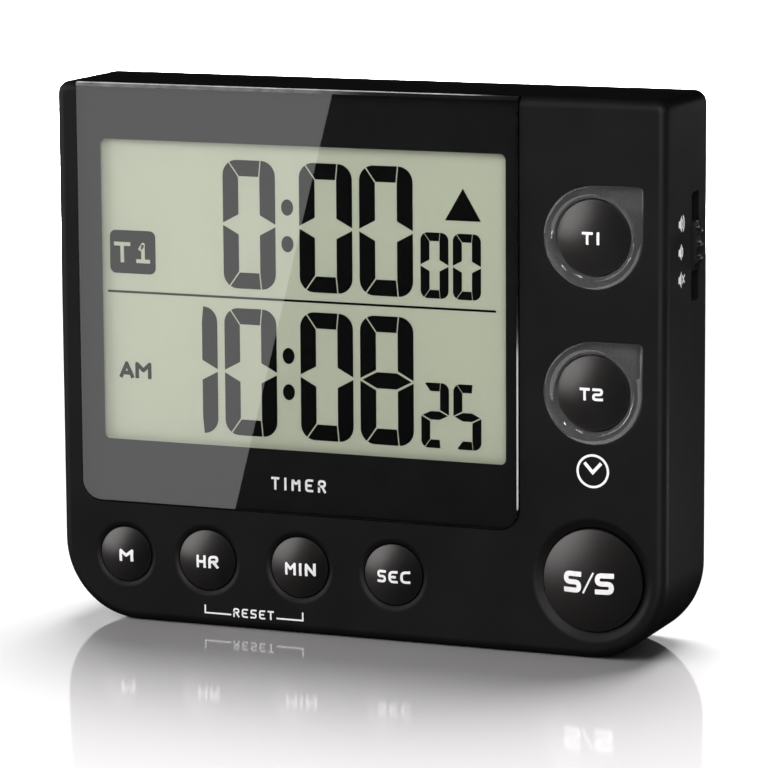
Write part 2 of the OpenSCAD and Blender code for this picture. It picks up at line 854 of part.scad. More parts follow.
// The two disc magnets in the back wall
module magnets()
    color(c_metal) at_face()
        for (place = magnet_places)
            rod(place[0], place[1], magnet_r, case_d - magnet_t - magnet_sink, case_d - magnet_sink);

// ---- Volume switch ----

// Ridged knob in the side slot, with the shutter plate that keeps the slot closed behind it
module volume_knob()
    color(c_key) at_face() {
        half = case_w / 2;
        crown_r = cap_r(knob_half, knob_sag);
        shutter_x = half - wall - shutter_gap;
        difference() {
            union() {
                block([shutter_x - shutter_t, shutter_depths[0], slide_z - shutter_half],
                    [shutter_x, shutter_depths[1], slide_z + shutter_half]);
                intersection() {
                    block([shutter_x - shutter_gap, slot_depths[0] + run_gap, slide_z - knob_half],
                        [half + 2, slot_depths[1] - run_gap, slide_z + knob_half]);
                    translate([half + knob_sag - crown_r, 0, slide_z]) rotate([-90, 0, 0])
                        cylinder(r = crown_r, h = case_d);
                }
                for (i = [-1:1])
                    translate([half + ridge_lift, slot_depths[0] + run_gap, slide_z + i * ridge_pitch])
                        rotate([-90, 0, 0])
                            cylinder(r = ridge_r, h = slot_depths[1] - slot_depths[0] - 2 * run_gap);
            }
            block([half - wall - 2, lever_depths[0] - lever_play, slide_z - lever_half - lever_play],
                [half - 1, lever_depths[1] + lever_play, slide_z + lever_half + lever_play]);
        }
    }

// Three-position slide switch on the board, open to the right for its lever
module volume_switch_body()
    color("#b9bcc0") at_face() {
        travel_half = lever_half + slide_step + run_gap;
        difference() {
            block([switch_x[0], board_back_d, slide_z - switch_half],
                [switch_x[1], switch_end_d, slide_z + switch_half]);
            block([lever_x - wide_gap, lever_depths[0] - run_gap, slide_z - travel_half],
                [switch_x[1] + over, lever_depths[1] + run_gap, slide_z + travel_half]);
        }
    }

// The switch's lever, which the knob carries along
module volume_switch_lever()
    color("#e4e2da") at_face()
        block([lever_x, lever_depths[0], slide_z - lever_half],
            [lever_end_x, lever_depths[1], slide_z + lever_half]);

// ---- Circuit board ----

// L-shaped board: a foot behind the keys and a column behind the timer keys
module circuit_board()
    color(c_board) at_face()
        difference() {
            slab(board_d, board_back_d)
                intersection() {
                    union() {
                        rect([-case_w / 2, 0, case_w / 2, board_foot_top]);
                        rect([board_column_x, board_foot_top - over, case_w / 2, board_column_top]);
                    }
                    case_outline(board_inset);
                }
            for (place = case_screw_places)
                rod(place[0], place[1], case_boss_r + board_boss_gap, board_d - over, board_back_d + over);
            for (place = board_screw_places)
                rod(place[0], place[1], board_thread_r + run_gap, board_d - over, board_back_d + over);
        }

// A chip component soldered flat on the back of the board
module chip_part(place, size)
    block([place[0] - size[0] / 2, board_back_d, place[1] - size[1] / 2],
        [place[0] + size[0] / 2, board_back_d + size[2], place[1] + size[1] / 2]);

// The drop of resin that covers the bare controller chip
module controller_chip()
    color("#141414") at_face() {
        ball = cap_r(chip_r, chip_h);
        top_d = board_back_d + chip_h;
        intersection() {
            translate([chip_place[0], top_d - ball, chip_place[1]]) sphere(ball, $fn = 200);
            rod(chip_place[0], chip_place[1], chip_r + over, board_back_d, top_d + over);
        }
    }

// The timing crystal: a can lying on the board with two leads
module crystal()
    color(c_metal) at_face() {
        axis_d = board_back_d + crystal_r + rest_gap;
        translate([crystal_place[0], axis_d, crystal_place[1]]) rotate([0, 90, 0])
            cylinder(r = crystal_r, h = crystal_len);
        for (side = [-1, 1]) {
            z = crystal_place[1] + side * crystal_lead_half_pitch;
            block([crystal_place[0] - crystal_lead_len, board_back_d, z - crystal_lead],
                [crystal_place[0] + crystal_lead_root, axis_d + rest_gap, z + crystal_lead]);
        }
    }

module electrolytic_capacitor()
    color("#2c3f7d") at_face()
        rod(can_place[0], can_place[1], can_r, board_back_d, board_back_d + can_h);

module ceramic_capacitors()
    color("#b08a5b") at_face()
        for (place = ceramic_places)
            chip_part(place, ceramic_size);

module resistors()
    color("#151515") at_face()
        for (place = resistor_places)
            chip_part(place, resistor_size);

module driver_transistor()
    color("#1a1a1a") at_face() chip_part(transistor_place, transistor_size);

// The drum coil that lifts the battery's voltage for the buzzer
module booster_coil()
    color("#3a3a3a") at_face()
        difference() {
            rod(coil_place[0], coil_place[1], coil_r, board_back_d, board_back_d + coil_h);
            turned(coil_place[0], coil_place[1])
                translate([coil_waist_r, board_back_d + coil_flange_t])
                    square([coil_r, coil_h - 2 * coil_flange_t]);
        }

// ---- Buzzer ----

module buzzer_plate()
    color("#c9a64a") at_face()
        rod(buzzer_x, buzzer_z, buzzer_r, buzzer_ledge_d - buzzer_plate_t, buzzer_ledge_d);

module buzzer_ceramic()
    color("#e8e6de") at_face()
        rod(buzzer_x, buzzer_z, buzzer_ceramic_r, buzzer_ledge_d - buzzer_plate_t - buzzer_ceramic_t,
            buzzer_ledge_d - buzzer_plate_t);

// ---- Batteries and contacts ----

// One cell lying along X; dir is +1 when its nub points to +X
module battery_cell(nub_x, z, dir)
    translate([nub_x, cell_depth, z]) rotate([0, -90 * dir, 0]) {
        cylinder(r = nub_r, h = nub_len + fuse);
        translate([0, 0, nub_len]) cylinder(r = cell_r, h = cell_len - nub_len);
    }

module battery_cell_1() color("#b0802f") at_face() battery_cell(right_nub_x, upper_cell_z, 1);
module battery_cell_2() color("#b0802f") at_face() battery_cell(left_nub_x, lower_cell_z, -1);

// Conical coil from the contact at x0 to the cell end at x1
function coil(x0, x1, z) =
    [for (i = [0:spring_steps * spring_turns])
        let (t = i / (spring_steps * spring_turns), r = spring_r + spring_flare * (1 - t),
            a = 360 * spring_turns * t)
            [x0 + t * (x1 - x0), cell_depth + r * cos(a), z + r * sin(a)]];

module contact_springs()
    color(c_metal) at_face() {
        clear = spring_wire_r + spring_play;
        wire(coil(bay_x[0] + contact_t + clear, right_nub_x - cell_len - clear, upper_cell_z),
            spring_wire_r, [1, 0, 0]);
        wire(coil(bay_x[1] - contact_t - clear, left_nub_x + cell_len + clear, lower_cell_z),
            spring_wire_r, [1, 0, 0]);
    }

// A sheet-metal contact against an end wall of the bay
module contact_sheet(x0, z0, z1)
    block([x0, cell_depth - contact_half, z0], [x0 + contact_t, cell_depth + contact_half, z1]);

// The pressed bump that meets a nub; dir is the way it faces
module contact_dimple(x, z, dir)
    translate([x, cell_depth, z]) rotate([0, 90 * dir, 0])
        cylinder(r1 = dimple_base_r, r2 = dimple_top_r, h = contact_bump - nub_play);

// The soldering tail that leaves the bay through its right wall
module contact_tail(z)
    block([bay_x[1] - contact_t, tail_depths[0] + seat_gap, z - tail_half],
        [tail_end_x, tail_depths[1] - seat_gap, z + tail_half]);

module bridge_contact()
    color(c_metal) at_face() {
        contact_sheet(bay_x[0], lower_cell_z - contact_half, upper_cell_z + contact_half);
        contact_dimple(bay_x[0] + contact_t, lower_cell_z, 1);
    }

module positive_contact()
    color(c_metal) at_face() {
        contact_sheet(bay_x[1] - contact_t, upper_cell_z - contact_half, upper_cell_z + contact_half);
        contact_dimple(bay_x[1] - contact_t, upper_cell_z, -1);
        contact_tail(upper_cell_z);
    }

module negative_contact()
    color(c_metal) at_face() {
        contact_sheet(bay_x[1] - contact_t, lower_cell_z - contact_half, lower_cell_z + contact_half);
        contact_tail(lower_cell_z);
    }

// A lead from a contact tail to the back of the board, where it stands upright for its joint
module battery_lead(z, board_z) {
    middle_z = (z + board_z) / 2;
    top_d = tail_depths[1] + lead_r;
    wire(concat(
        bend([lead_joint_x, top_d, z], [lead_joint_x + lead_runs[0], top_d + lead_rise, z],
            [lead_joint_x + lead_runs[1], lead_bend_depths[0], middle_z], lead_steps),
        bend([lead_joint_x + lead_runs[2], lead_bend_depths[1], middle_z],
            [lead_board_x, lead_bend_depths[2], board_z],
            [lead_board_x, board_back_d + lead_r, board_z], lead_steps),
        [[lead_board_x, board_back_d, board_z]]),
        lead_r, [0, 0, 1]);
}

module battery_lead_red() color("#b3261e") at_face() battery_lead(upper_cell_z, lead_board_z[0]);
module battery_lead_black() color("#18181a") at_face() battery_lead(lower_cell_z, lead_board_z[1]);

// Two leads from the buzzer disc to the board, each upright at both ends
module buzzer_leads()
    color("#b3261e") at_face()
        for (side = [-1, 1]) {
            x = buzzer_x + side * buzzer_lead_half_pitch;
            start_d = buzzer_ledge_d - buzzer_plate_t - buzzer_ceramic_t;
            joint_z = buzzer_z + buzzer_lead_joint;
            end_z = buzzer_z + buzzer_lead_rise;
            wire(concat(
                [[x, start_d, joint_z]],
                bend([x, start_d - lead_r, joint_z], [x, buzzer_lead_bend_d, buzzer_z],
                    [x, board_back_d + lead_r, end_z], buzzer_lead_steps),
                [[x, board_back_d, end_z]]),
                lead_r, [1, 0, 0]);
        }

// ---- Screws ----

// A cross-recessed screw with its head towards the back
module screw(place, seat_d, length, shank_r, head_r, head_t) {
    recess_half = [cross_slim * head_r, cross_reach * head_r];
    recess_floor = seat_d + cross_floor * head_t;
    rod(place[0], place[1], shank_r, seat_d - length, seat_d + fuse);
    difference() {
        rod(place[0], place[1], head_r, seat_d, seat_d + head_t);
        for (h = [recess_half, [recess_half[1], recess_half[0]]])
            block([place[0] - h[0], recess_floor, place[1] - h[1]],
                [place[0] + h[0], seat_d + head_t + over, place[1] + h[1]]);
    }
}

module case_screws()
    color(c_metal) at_face()
        for (place = case_screw_places)
            screw(place, head_seat_d, case_screw_len, case_thread_r, case_head_r, case_head_t);

module board_screws()
    color(c_metal) at_face()
        for (place = board_screw_places)
            screw(place, board_back_d, board_screw_len, board_thread_r, board_head_r, board_head_t);

front_housing();
rear_housing();
display_panel();
panel_adhesive();
front_polariser();
lcd_front_glass();
lcd_rear_glass();
rear_polariser();
lcd_tray();
contact_strip();
memory_key();
hour_key();
minute_key();
second_key();
start_stop_key();
timer_1_key();
timer_2_key();
timer_1_light_ring();
timer_2_light_ring();
timer_1_led();
timer_2_led();
keypad_mat();
circuit_board();
controller_chip();
crystal();
electrolytic_capacitor();
ceramic_capacitors();
resistors();
driver_transistor();
booster_coil();
volume_knob();
volume_switch_body();
volume_switch_lever();
buzzer_plate();
buzzer_ceramic();
battery_cell_1();
battery_cell_2();
contact_springs();
bridge_contact();
positive_contact();
negative_contact();
battery_lead_red();
battery_lead_black();
buzzer_leads();
battery_door();
stand();
magnets();
case_screws();
board_screws();
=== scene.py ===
"""Looks of the bench timer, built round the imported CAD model. Metres, X right, Y back, Z up."""

import json
import math

import bmesh
import bpy
from mathutils import Matrix, Vector

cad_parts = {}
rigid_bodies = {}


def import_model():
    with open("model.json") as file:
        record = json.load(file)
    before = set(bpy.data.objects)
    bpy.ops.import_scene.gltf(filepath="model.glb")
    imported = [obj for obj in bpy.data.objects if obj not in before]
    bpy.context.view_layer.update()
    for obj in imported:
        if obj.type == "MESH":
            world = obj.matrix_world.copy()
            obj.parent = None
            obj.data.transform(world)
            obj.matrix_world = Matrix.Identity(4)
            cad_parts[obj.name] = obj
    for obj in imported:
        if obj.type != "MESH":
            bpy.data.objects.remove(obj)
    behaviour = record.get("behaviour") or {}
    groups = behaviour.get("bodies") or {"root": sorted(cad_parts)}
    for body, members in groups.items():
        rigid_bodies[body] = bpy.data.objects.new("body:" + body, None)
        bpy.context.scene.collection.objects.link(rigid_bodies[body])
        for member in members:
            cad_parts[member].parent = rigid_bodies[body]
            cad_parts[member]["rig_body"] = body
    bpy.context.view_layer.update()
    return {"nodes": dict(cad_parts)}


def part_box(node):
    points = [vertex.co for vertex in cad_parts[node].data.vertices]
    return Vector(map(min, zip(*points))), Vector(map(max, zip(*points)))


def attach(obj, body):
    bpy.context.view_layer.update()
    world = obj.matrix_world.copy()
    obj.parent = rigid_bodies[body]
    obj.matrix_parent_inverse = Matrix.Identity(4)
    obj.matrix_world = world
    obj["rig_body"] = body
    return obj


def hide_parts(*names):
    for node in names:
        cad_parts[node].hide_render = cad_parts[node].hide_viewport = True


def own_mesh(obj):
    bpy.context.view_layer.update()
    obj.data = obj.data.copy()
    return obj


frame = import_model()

MM = 0.001
FACE_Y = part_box("front_housing")[0].y
scene = bpy.context.scene


# ---- Places ----

# The camera looks at AIM, which is in mm across, back from the front face and up, from RANGE mm away.
# It is turned by YAW, tilted by PITCH and rolled by ROLL degrees.
YAW, PITCH, ROLL, RANGE = 22.286, 9.529, -0.368, 650.59
AIM = (4.881, 0.0, 40.289)


def sight_line():
    """The direction in which the camera looks."""
    yaw, pitch = math.radians(YAW), math.radians(PITCH)
    return Vector((-math.sin(yaw) * math.cos(pitch), math.cos(yaw) * math.cos(pitch), -math.sin(pitch)))


# Where the camera stands, in the same measures as AIM
EYE = Vector(AIM) - sight_line() * RANGE


def at(x, d, z):
    """A point in millimetres across, back from the front face, and up."""
    return Vector((x * MM, FACE_Y + d * MM, z * MM))


def extent(node):
    """A CAD node's box in millimetres: x0, x1, d0, d1, z0, z1."""
    lo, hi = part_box(node)
    return (lo.x / MM, hi.x / MM, (lo.y - FACE_Y) / MM, (hi.y - FACE_Y) / MM, lo.z / MM, hi.z / MM)


def middle(node):
    """The middle of a CAD node in x and z, in millimetres."""
    x0, x1, _, _, z0, z1 = extent(node)
    return (x0 + x1) / 2, (z0 + z1) / 2


# ---- Materials ----

def node_tree(name):
    """A new material, its node tree and its shader."""
    mat = bpy.data.materials.new(name)
    mat.use_nodes = True
    tree = mat.node_tree
    return mat, tree, tree.nodes["Principled BSDF"]


def noise(tree, scale, detail=3.0, stretch=None):
    """Noise in object space; scale is in cells a metre."""
    coord = tree.nodes.new("ShaderNodeTexCoord")
    tex = tree.nodes.new("ShaderNodeTexNoise")
    tex.inputs["Scale"].default_value = scale
    tex.inputs["Detail"].default_value = detail
    source = coord.outputs["Object"]
    if stretch:
        mapping = tree.nodes.new("ShaderNodeMapping")
        mapping.inputs["Scale"].default_value = stretch
        tree.links.new(source, mapping.inputs["Vector"])
        source = mapping.outputs["Vector"]
    tree.links.new(source, tex.inputs["Vector"])
    return tex.outputs["Fac"]


def spread(tree, fac, low, high):
    """Maps a noise value from its usual middle range to low..high."""
    node = tree.nodes.new("ShaderNodeMapRange")
    node.inputs["From Min"].default_value = 0.3
    node.inputs["From Max"].default_value = 0.7
    node.inputs["To Min"].default_value = low
    node.inputs["To Max"].default_value = high
    tree.links.new(fac, node.inputs["Value"])
    return node.outputs["Result"]


def surface(name, dark, light, rough, cells=400, grain=2500, bump=0.0, tone=0.04, stretch=None, **even):
    """A mottled solid surface: two close colours, a drifting roughness and a fine grain.

    bump is the grain's height in millimetres; even holds plain values for the shader's sockets.
    """
    mat, tree, shader = node_tree(name)
    blotch = noise(tree, cells, stretch=stretch)
    ramp = tree.nodes.new("ShaderNodeValToRGB")
    ramp.color_ramp.elements[0].position = 0.35
    ramp.color_ramp.elements[1].position = 0.65
    ramp.color_ramp.elements[0].color = (*dark, 1)
    ramp.color_ramp.elements[1].color = (*light, 1)
    tree.links.new(blotch, ramp.inputs["Fac"])
    tree.links.new(ramp.outputs["Color"], shader.inputs["Base Color"])
    tree.links.new(spread(tree, blotch, rough - tone, rough + tone), shader.inputs["Roughness"])
    if bump:
        node = tree.nodes.new("ShaderNodeBump")
        node.inputs["Distance"].default_value = bump * MM
        node.inputs["Strength"].default_value = 1.0
        tree.links.new(noise(tree, grain, 2.0), node.inputs["Height"])
        tree.links.new(node.outputs["Normal"], shader.inputs["Normal"])
    for socket, value in even.items():
        shader.inputs[socket.replace("_", " ")].default_value = value
    return mat


def math_node(tree, operation, a, b):
    """Adds a Math node for two values, each a number or a socket."""
    node = tree.nodes.new("ShaderNodeMath")
    node.operation = operation
    for socket, value in zip(node.inputs, (a, b)):
        if isinstance(value, float):
            socket.default_value = value
        else:
            tree.links.new(value, socket)
    return node.outputs[0]


def grey(level):
    """A grey with the slight blue of black plastic."""
    return (level, level, level * 1.02)


def pane(name, tint, rough=0.0, drift=0.01, ior=1.49, gain=5.0):
    """A clear sheet: what is behind shows straight through, and its front face is glossy.

    gain is how many times stronger than plain Fresnel reflection the gloss is, up to a full mirror.
    """
    mat, tree, shader = node_tree(name)
    tree.nodes.remove(shader)
    clear = tree.nodes.new("ShaderNodeBsdfTransparent")
    clear.inputs["Color"].default_value = (*tint, 1)
    gloss = tree.nodes.new("ShaderNodeBsdfAnisotropic")
    tree.links.new(spread(tree, noise(tree, 60), rough, rough + drift), gloss.inputs["Roughness"])
    fresnel = tree.nodes.new("ShaderNodeFresnel")
    fresnel.inputs["IOR"].default_value = ior
    side = tree.nodes.new("ShaderNodeNewGeometry")
    share = math_node(tree, "MULTIPLY", fresnel.outputs["Fac"], gain)
    share = math_node(tree, "MINIMUM", share, 1.0)
    outer = math_node(tree, "SUBTRACT", 1.0, side.outputs["Backfacing"])
    share = math_node(tree, "MULTIPLY", share, outer)
    mix = tree.nodes.new("ShaderNodeMixShader")
    tree.links.new(share, mix.inputs[0])
    tree.links.new(clear.outputs[0], mix.inputs[1])
    tree.links.new(gloss.outputs[0], mix.inputs[2])
    tree.links.new(mix.outputs[0], tree.nodes["Material Output"].inputs["Surface"])
    return mat


def outer_materials():
    """What shows from outside: mouldings, print, display and clear pieces."""
    return {
        "case": surface("case_moulding", grey(0.0031), grey(0.0037), rough=0.5, cells=90, grain=4200,
                        bump=0.006, Specular_IOR_Level=0.18),
        "key": surface("key_moulding", (0.0205, 0.0188, 0.018), (0.0225, 0.0206, 0.0198), rough=0.4,
                       cells=120, grain=6000, bump=0.0015, Specular_IOR_Level=1.0),
        "knob": surface("knob_moulding", grey(0.0062), grey(0.0074), rough=0.45, cells=200, grain=5000,
                        bump=0.003, Specular_IOR_Level=0.35),
        "ink": surface("black_print", grey(0.0052), grey(0.006), rough=0.5, cells=300,
                       Specular_IOR_Level=0.1),
        "legend": surface("white_print", grey(0.82), grey(0.9), rough=0.5, cells=900, tone=0.06),
        "segment": surface("display_segment", grey(0.0008), grey(0.0012), rough=0.5, cells=300,
                           Specular_IOR_Level=0.1),
        "film": surface("display_film", (0.602, 0.628, 0.484), (0.617, 0.643, 0.497), rough=0.6, cells=30,
                        tone=0.05, Specular_IOR_Level=0.1),
        "panel": pane("panel_acrylic", (0.97, 0.98, 0.98)),
        "panel_edge": surface("acrylic_edge", grey(0.012), grey(0.018), rough=0.1, cells=500, tone=0.02),
        "ring": surface("ring_acrylic", grey(0.86), grey(0.92), rough=0.04, cells=350, tone=0.02,
                        Transmission_Weight=1.0, IOR=1.49),
        "ring_base": surface("ring_textured_base", grey(0.007), grey(0.022), rough=0.45, cells=3400,
                             bump=0.03),
        "pipe": surface("light_pipe_frost", grey(0.26), grey(0.32), rough=0.5, cells=900),
        "nickel": surface("nickel_plate", grey(0.3), grey(0.36), rough=0.45, cells=1500, bump=0.004,
                          Metallic=1.0),
    }


def inner_materials():
    """What lies inside the case: display stack, keypad, electronics and power."""
    return {
        "rubber": surface("grey_silicone", grey(0.22), grey(0.27), rough=0.75, cells=500, bump=0.01),
        "adhesive": surface("foam_tape", grey(0.012), grey(0.02), rough=0.8, cells=900),
        "glass": surface("float_glass", (0.8, 0.86, 0.84), (0.84, 0.9, 0.88), rough=0.04, cells=80, tone=0.01,
                         Transmission_Weight=1.0, IOR=1.52),
        "polariser": surface("polariser_film", (0.6, 0.64, 0.58), (0.64, 0.68, 0.62), rough=0.2, cells=90,
                             Transmission_Weight=0.8, IOR=1.5),
        "tray": surface("white_moulding", grey(0.62), grey(0.7), rough=0.55, cells=200, bump=0.004),
        "strip": surface("layered_silicone", (0.8, 0.42, 0.46), (0.02, 0.02, 0.02), rough=0.7, cells=700,
                         stretch=(8, 0.2, 0.2)),
        "led": surface("red_epoxy", (0.7, 0.05, 0.03), (0.8, 0.09, 0.05), rough=0.1, cells=200,
                       Transmission_Weight=0.7, IOR=1.5),
        "board": surface("solder_resist", (0.008, 0.09, 0.03), (0.012, 0.13, 0.045), rough=0.3, cells=260,
                         bump=0.01),
        "chip": surface("black_epoxy", grey(0.008), grey(0.014), rough=0.35, cells=600, bump=0.006),
        "steel": surface("tinned_steel", grey(0.5), grey(0.62), rough=0.28, cells=900, bump=0.002,
                         Metallic=1.0),
        "sleeve": surface("capacitor_sleeve", (0.02, 0.04, 0.19), (0.03, 0.055, 0.24), rough=0.35, cells=300),
        "tan": surface("tan_ceramic", (0.36, 0.22, 0.1), (0.48, 0.32, 0.17), rough=0.5, cells=1500,
                       bump=0.004),
        "ferrite": surface("grey_ferrite", grey(0.03), grey(0.06), rough=0.6, cells=1200, bump=0.01),
        "nylon": surface("white_nylon", (0.68, 0.66, 0.6), (0.76, 0.74, 0.68), rough=0.45, cells=300,
                         bump=0.003),
        "brass": surface("sheet_brass", (0.65, 0.43, 0.14), (0.78, 0.56, 0.24), rough=0.3, cells=500,
                         Metallic=1.0),
        "silvered": surface("silvered_ceramic", grey(0.6), grey(0.72), rough=0.35, cells=900, Metallic=0.6),
        "red_pvc": surface("red_pvc", (0.42, 0.012, 0.01), (0.5, 0.02, 0.015), rough=0.4, cells=400),
        "black_pvc": surface("black_pvc", grey(0.01), grey(0.016), rough=0.4, cells=400),
        "label_dark": surface("cell_sleeve", grey(0.02), grey(0.028), rough=0.3, cells=200),
    }


MAT = {**outer_materials(), **inner_materials()}


# ---- Mesh making ----

def finish_mesh(name, bm, body, mats, nodes=(), sharp=32.0):
    """Turns bm into a piece with smooth faces and crisp edges, riding on body."""
    bmesh.ops.recalc_face_normals(bm, faces=bm.faces)
    mesh = bpy.data.meshes.new(name)
    bm.to_mesh(mesh)
    bm.free()
    mesh.polygons.foreach_set("use_smooth", [True] * len(mesh.polygons))
    mesh.set_sharp_from_angle(angle=math.radians(sharp))
    obj = bpy.data.objects.new(name, mesh)
    scene.collection.objects.link(obj)
    for mat in mats if isinstance(mats, (list, tuple)) else [mats]:
        mesh.materials.append(MAT[mat])
    weighted = obj.modifiers.new("weighted", "WEIGHTED_NORMAL")
    weighted.keep_sharp = True
    weighted.weight = 100
    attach(obj, body)
    if nodes:
        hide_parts(*nodes)
    return obj


def round_edges(bm, edges, width, segments=3):
    """Rounds the given edges, width mm wide."""
    bmesh.ops.bevel(bm, geom=edges, offset=width * MM, offset_type="OFFSET", segments=segments, profile=0.5,
                    affect="EDGES", clamp_overlap=True)


def soften(bm, width, crease=30):
    """Rounds every edge that turns by more than crease degrees."""
    limit = math.radians(crease)
    round_edges(bm, [e for e in bm.edges if len(e.link_faces) == 2 and e.calc_face_angle(0) > limit], width)


def refine(node, mat, edge=0.12, mouths=None):
    """A finer copy of a CAD node: its sharp edges get a small moulded radius, edge mm wide.

    mouths is a larger radius for the rims of the key wells, which lie in the front face.
    """
    weld, face_skin = 0.002 * MM, 0.005 * MM
    level, rim_turn = 0.004, 0.2
    source = frame["nodes"][node]
    bm = bmesh.new()
    bm.from_mesh(source.data)
    bmesh.ops.remove_doubles(bm, verts=bm.verts, dist=weld)
    bmesh.ops.dissolve_limit(bm, angle_limit=level, verts=bm.verts, edges=bm.edges)
    for face in bm.faces:
        face.material_index = 0
    if mouths:
        front = FACE_Y + face_skin
        rims = [e for e in bm.edges if all(v.co.y < front and near_key(v.co) for v in e.verts)]
        round_edges(bm, [e for e in rims if e.calc_face_angle(0) > rim_turn], mouths, segments=4)
    soften(bm, edge)
    bmesh.ops.remove_doubles(bm, verts=bm.verts, dist=weld / 2)
    finish_mesh(node + "_moulding", bm, source["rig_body"], mat, [node])


def add_loft(bm, loops, closed=False):
    """Joins loops of points with faces. An open loft gets a face at each end."""
    rings = [[bm.verts.new(p) for p in loop] for loop in loops]
    pairs = list(zip(rings, rings[1:]))
    if closed:
        pairs.append((rings[-1], rings[0]))
    for a, b in pairs:
        for i in range(len(a)):
            j = (i + 1) % len(a)
            bm.faces.new((a[i], a[j], b[j], b[i]))
    if not closed:
        bm.faces.new(rings[0])
        bm.faces.new(list(reversed(rings[-1])))


def circle(x, z, r, n=96):
    """Points of a circle, anticlockwise from its right."""
    return [(x + r * math.cos(2 * math.pi * i / n), z + r * math.sin(2 * math.pi * i / n)) for i in range(n)]


def rounded(x0, z0, x1, z1, r, steps=8):
    """A rounded rectangle, anticlockwise from the lower left; r is one radius or four."""
    radii = r if isinstance(r, (list, tuple)) else [r] * 4
    corners = [(x0, z0, 1, 1, 180), (x1, z0, -1, 1, 270), (x1, z1, -1, -1, 0), (x0, z1, 1, -1, 90)]
    points = []
    for (x, z, sx, sz, start), radius in zip(corners, radii):
        for i in range(steps + 1):
            a = math.radians(start + 90 * i / steps)
            points.append((x + sx * radius + radius * math.cos(a), z + sz * radius + radius * math.sin(a)))
    return points


def loop_at(shape, depth):
    """An outline in x and z, placed at a depth."""
    return [at(x, depth, z) for x, z in shape]


def add_turned(bm, x, z, profile, n=96):
    """Turns a profile of (radius, depth) pairs, which starts and ends on the axis, about the depth axis."""
    rings = []
    for r, d in profile:
        if r < 1e-6:
            rings.append([bm.verts.new(at(x, d, z))])
        else:
            rings.append([bm.verts.new(p) for p in loop_at(circle(x, z, r, n), d)])
    for a, b in zip(rings, rings[1:]):
        for i in range(n):
            j = (i + 1) % n
            if len(a) == 1:
                bm.faces.new((a[0], b[j], b[i]))
            elif len(b) == 1:
                bm.faces.new((a[i], a[j], b[0]))
            else:
                bm.faces.new((a[i], a[j], b[j], b[i]))


# ---- Keys ----

# Each key, with how far behind the face the edge of its cap lies, in mm
KEYS = {
    "memory_key": 0.3, "hour_key": 0.3, "minute_key": 0.3, "second_key": 0.3, "start_stop_key": 0.2,
    "timer_2_key": 0.3, "timer_1_key": 0.3,
}
# A key's flange stands out this far from its cap, and the mouth of its bowl this far from the flange
FLANGE = 0.8
BOWL_MARGIN = 1.2


def bowls():
    """Centre and reach of each key that sits in a bowl of its own, in metres."""
    found = []
    for node in KEYS:
        if node.startswith("timer"):
            continue
        x, z = middle(node)
        x0, x1, _, _, _, _ = extent(node)
        found.append((x * MM, z * MM, ((x1 - x0) / 2 + BOWL_MARGIN) * MM))
    return found


BOWLS = bowls()


def near_key(point):
    """Whether a point lies within the mouth of a bowl."""
    return any(math.hypot(point.x - x, point.z - z) < reach for x, z, reach in BOWLS)


def dome_depth(key, x, z):
    """Depth of a key's crowned top at a point."""
    r2 = (x - key["x"]) ** 2 + (z - key["z"]) ** 2
    return key["ball"] - key["crown"] - math.sqrt(max(key["ball"] ** 2 - r2, 0.0))


def key_facts(node, edge_d):
    """The key's place, cap radius, crown and crown sphere from its CAD node and edge depth."""
    x0, x1, d0, _, _, _ = extent(node)
    x, z = middle(node)
    r, crown = (x1 - x0) / 2 - FLANGE, -d0
    sag = crown + edge_d
    return {"x": x, "z": z, "r": r, "crown": crown, "ball": (r * r + sag * sag) / (2 * sag)}


def make_key(node, edge_d):
    """A crowned cap with a softened rim, a skirt, a retaining flange and a central post."""
    key = key_facts(node, edge_d)
    _, _, _, post_end, _, _ = extent(node)
    steps, soft, rim_stretch = 28, 0.16, 1.3
    flange_d, skirt_d, roof_d = 2.65, 3.35, 1.7
    chamfer, wall, post_r = 0.1, 1.1, 1.5
    r = key["r"]
    reaches = [i / steps * (r - soft) for i in range(steps + 1)]
    top = [(reach, dome_depth(key, key["x"] + reach, key["z"])) for reach in reaches]
    rim_d = top[-1][1]
    rim = [(r - soft + soft * math.sin(a), rim_d + soft * (1 - math.cos(a)) * rim_stretch)
           for a in (math.radians(turn) for turn in (30, 60, 90))]
    flange_r, skirt_r = r + FLANGE, r - wall
    rest = [(r, flange_d), (flange_r - chamfer, flange_d), (flange_r, flange_d + chamfer),
            (flange_r, skirt_d), (skirt_r, skirt_d), (skirt_r, roof_d), (post_r, roof_d),
            (post_r, post_end - chamfer), (post_r - chamfer, post_end), (0, post_end)]
    bm = bmesh.new()
    add_turned(bm, key["x"], key["z"], top + rim + rest)
    finish_mesh(node + "_cap", bm, node, "key", [node])
    return key


# ---- Strokes: letters and lines as thin raised ink ----

# In mm: how far ink stands proud of its surface and reaches into it, and the step between crossing strokes
INK_RISE, INK_ROOT, INK_LAYER = 0.02, 0.005, 0.004
# The longest step along a letter's stroke, in mm
STROKE_STEP = 0.35
# The slash's stroke width, as a share of the other letters'
SLASH_SHARE = 0.38


def softened(points, radius, steps=5):
    """A polyline with its inner corners rounded."""
    out = [Vector(points[0])]
    for p, q, s in zip(points, points[1:], points[2:]):
        p, q, s = Vector(p), Vector(q), Vector(s)
        reach = min(radius, (p - q).length * 0.5, (s - q).length * 0.5)
        a, b = q + (p - q).normalized() * reach, q + (s - q).normalized() * reach
        for i in range(steps + 1):
            t = i / steps
            out.append((1 - t) ** 2 * a + 2 * t * (1 - t) * q + t * t * b)
    out.append(Vector(points[-1]))
    return out


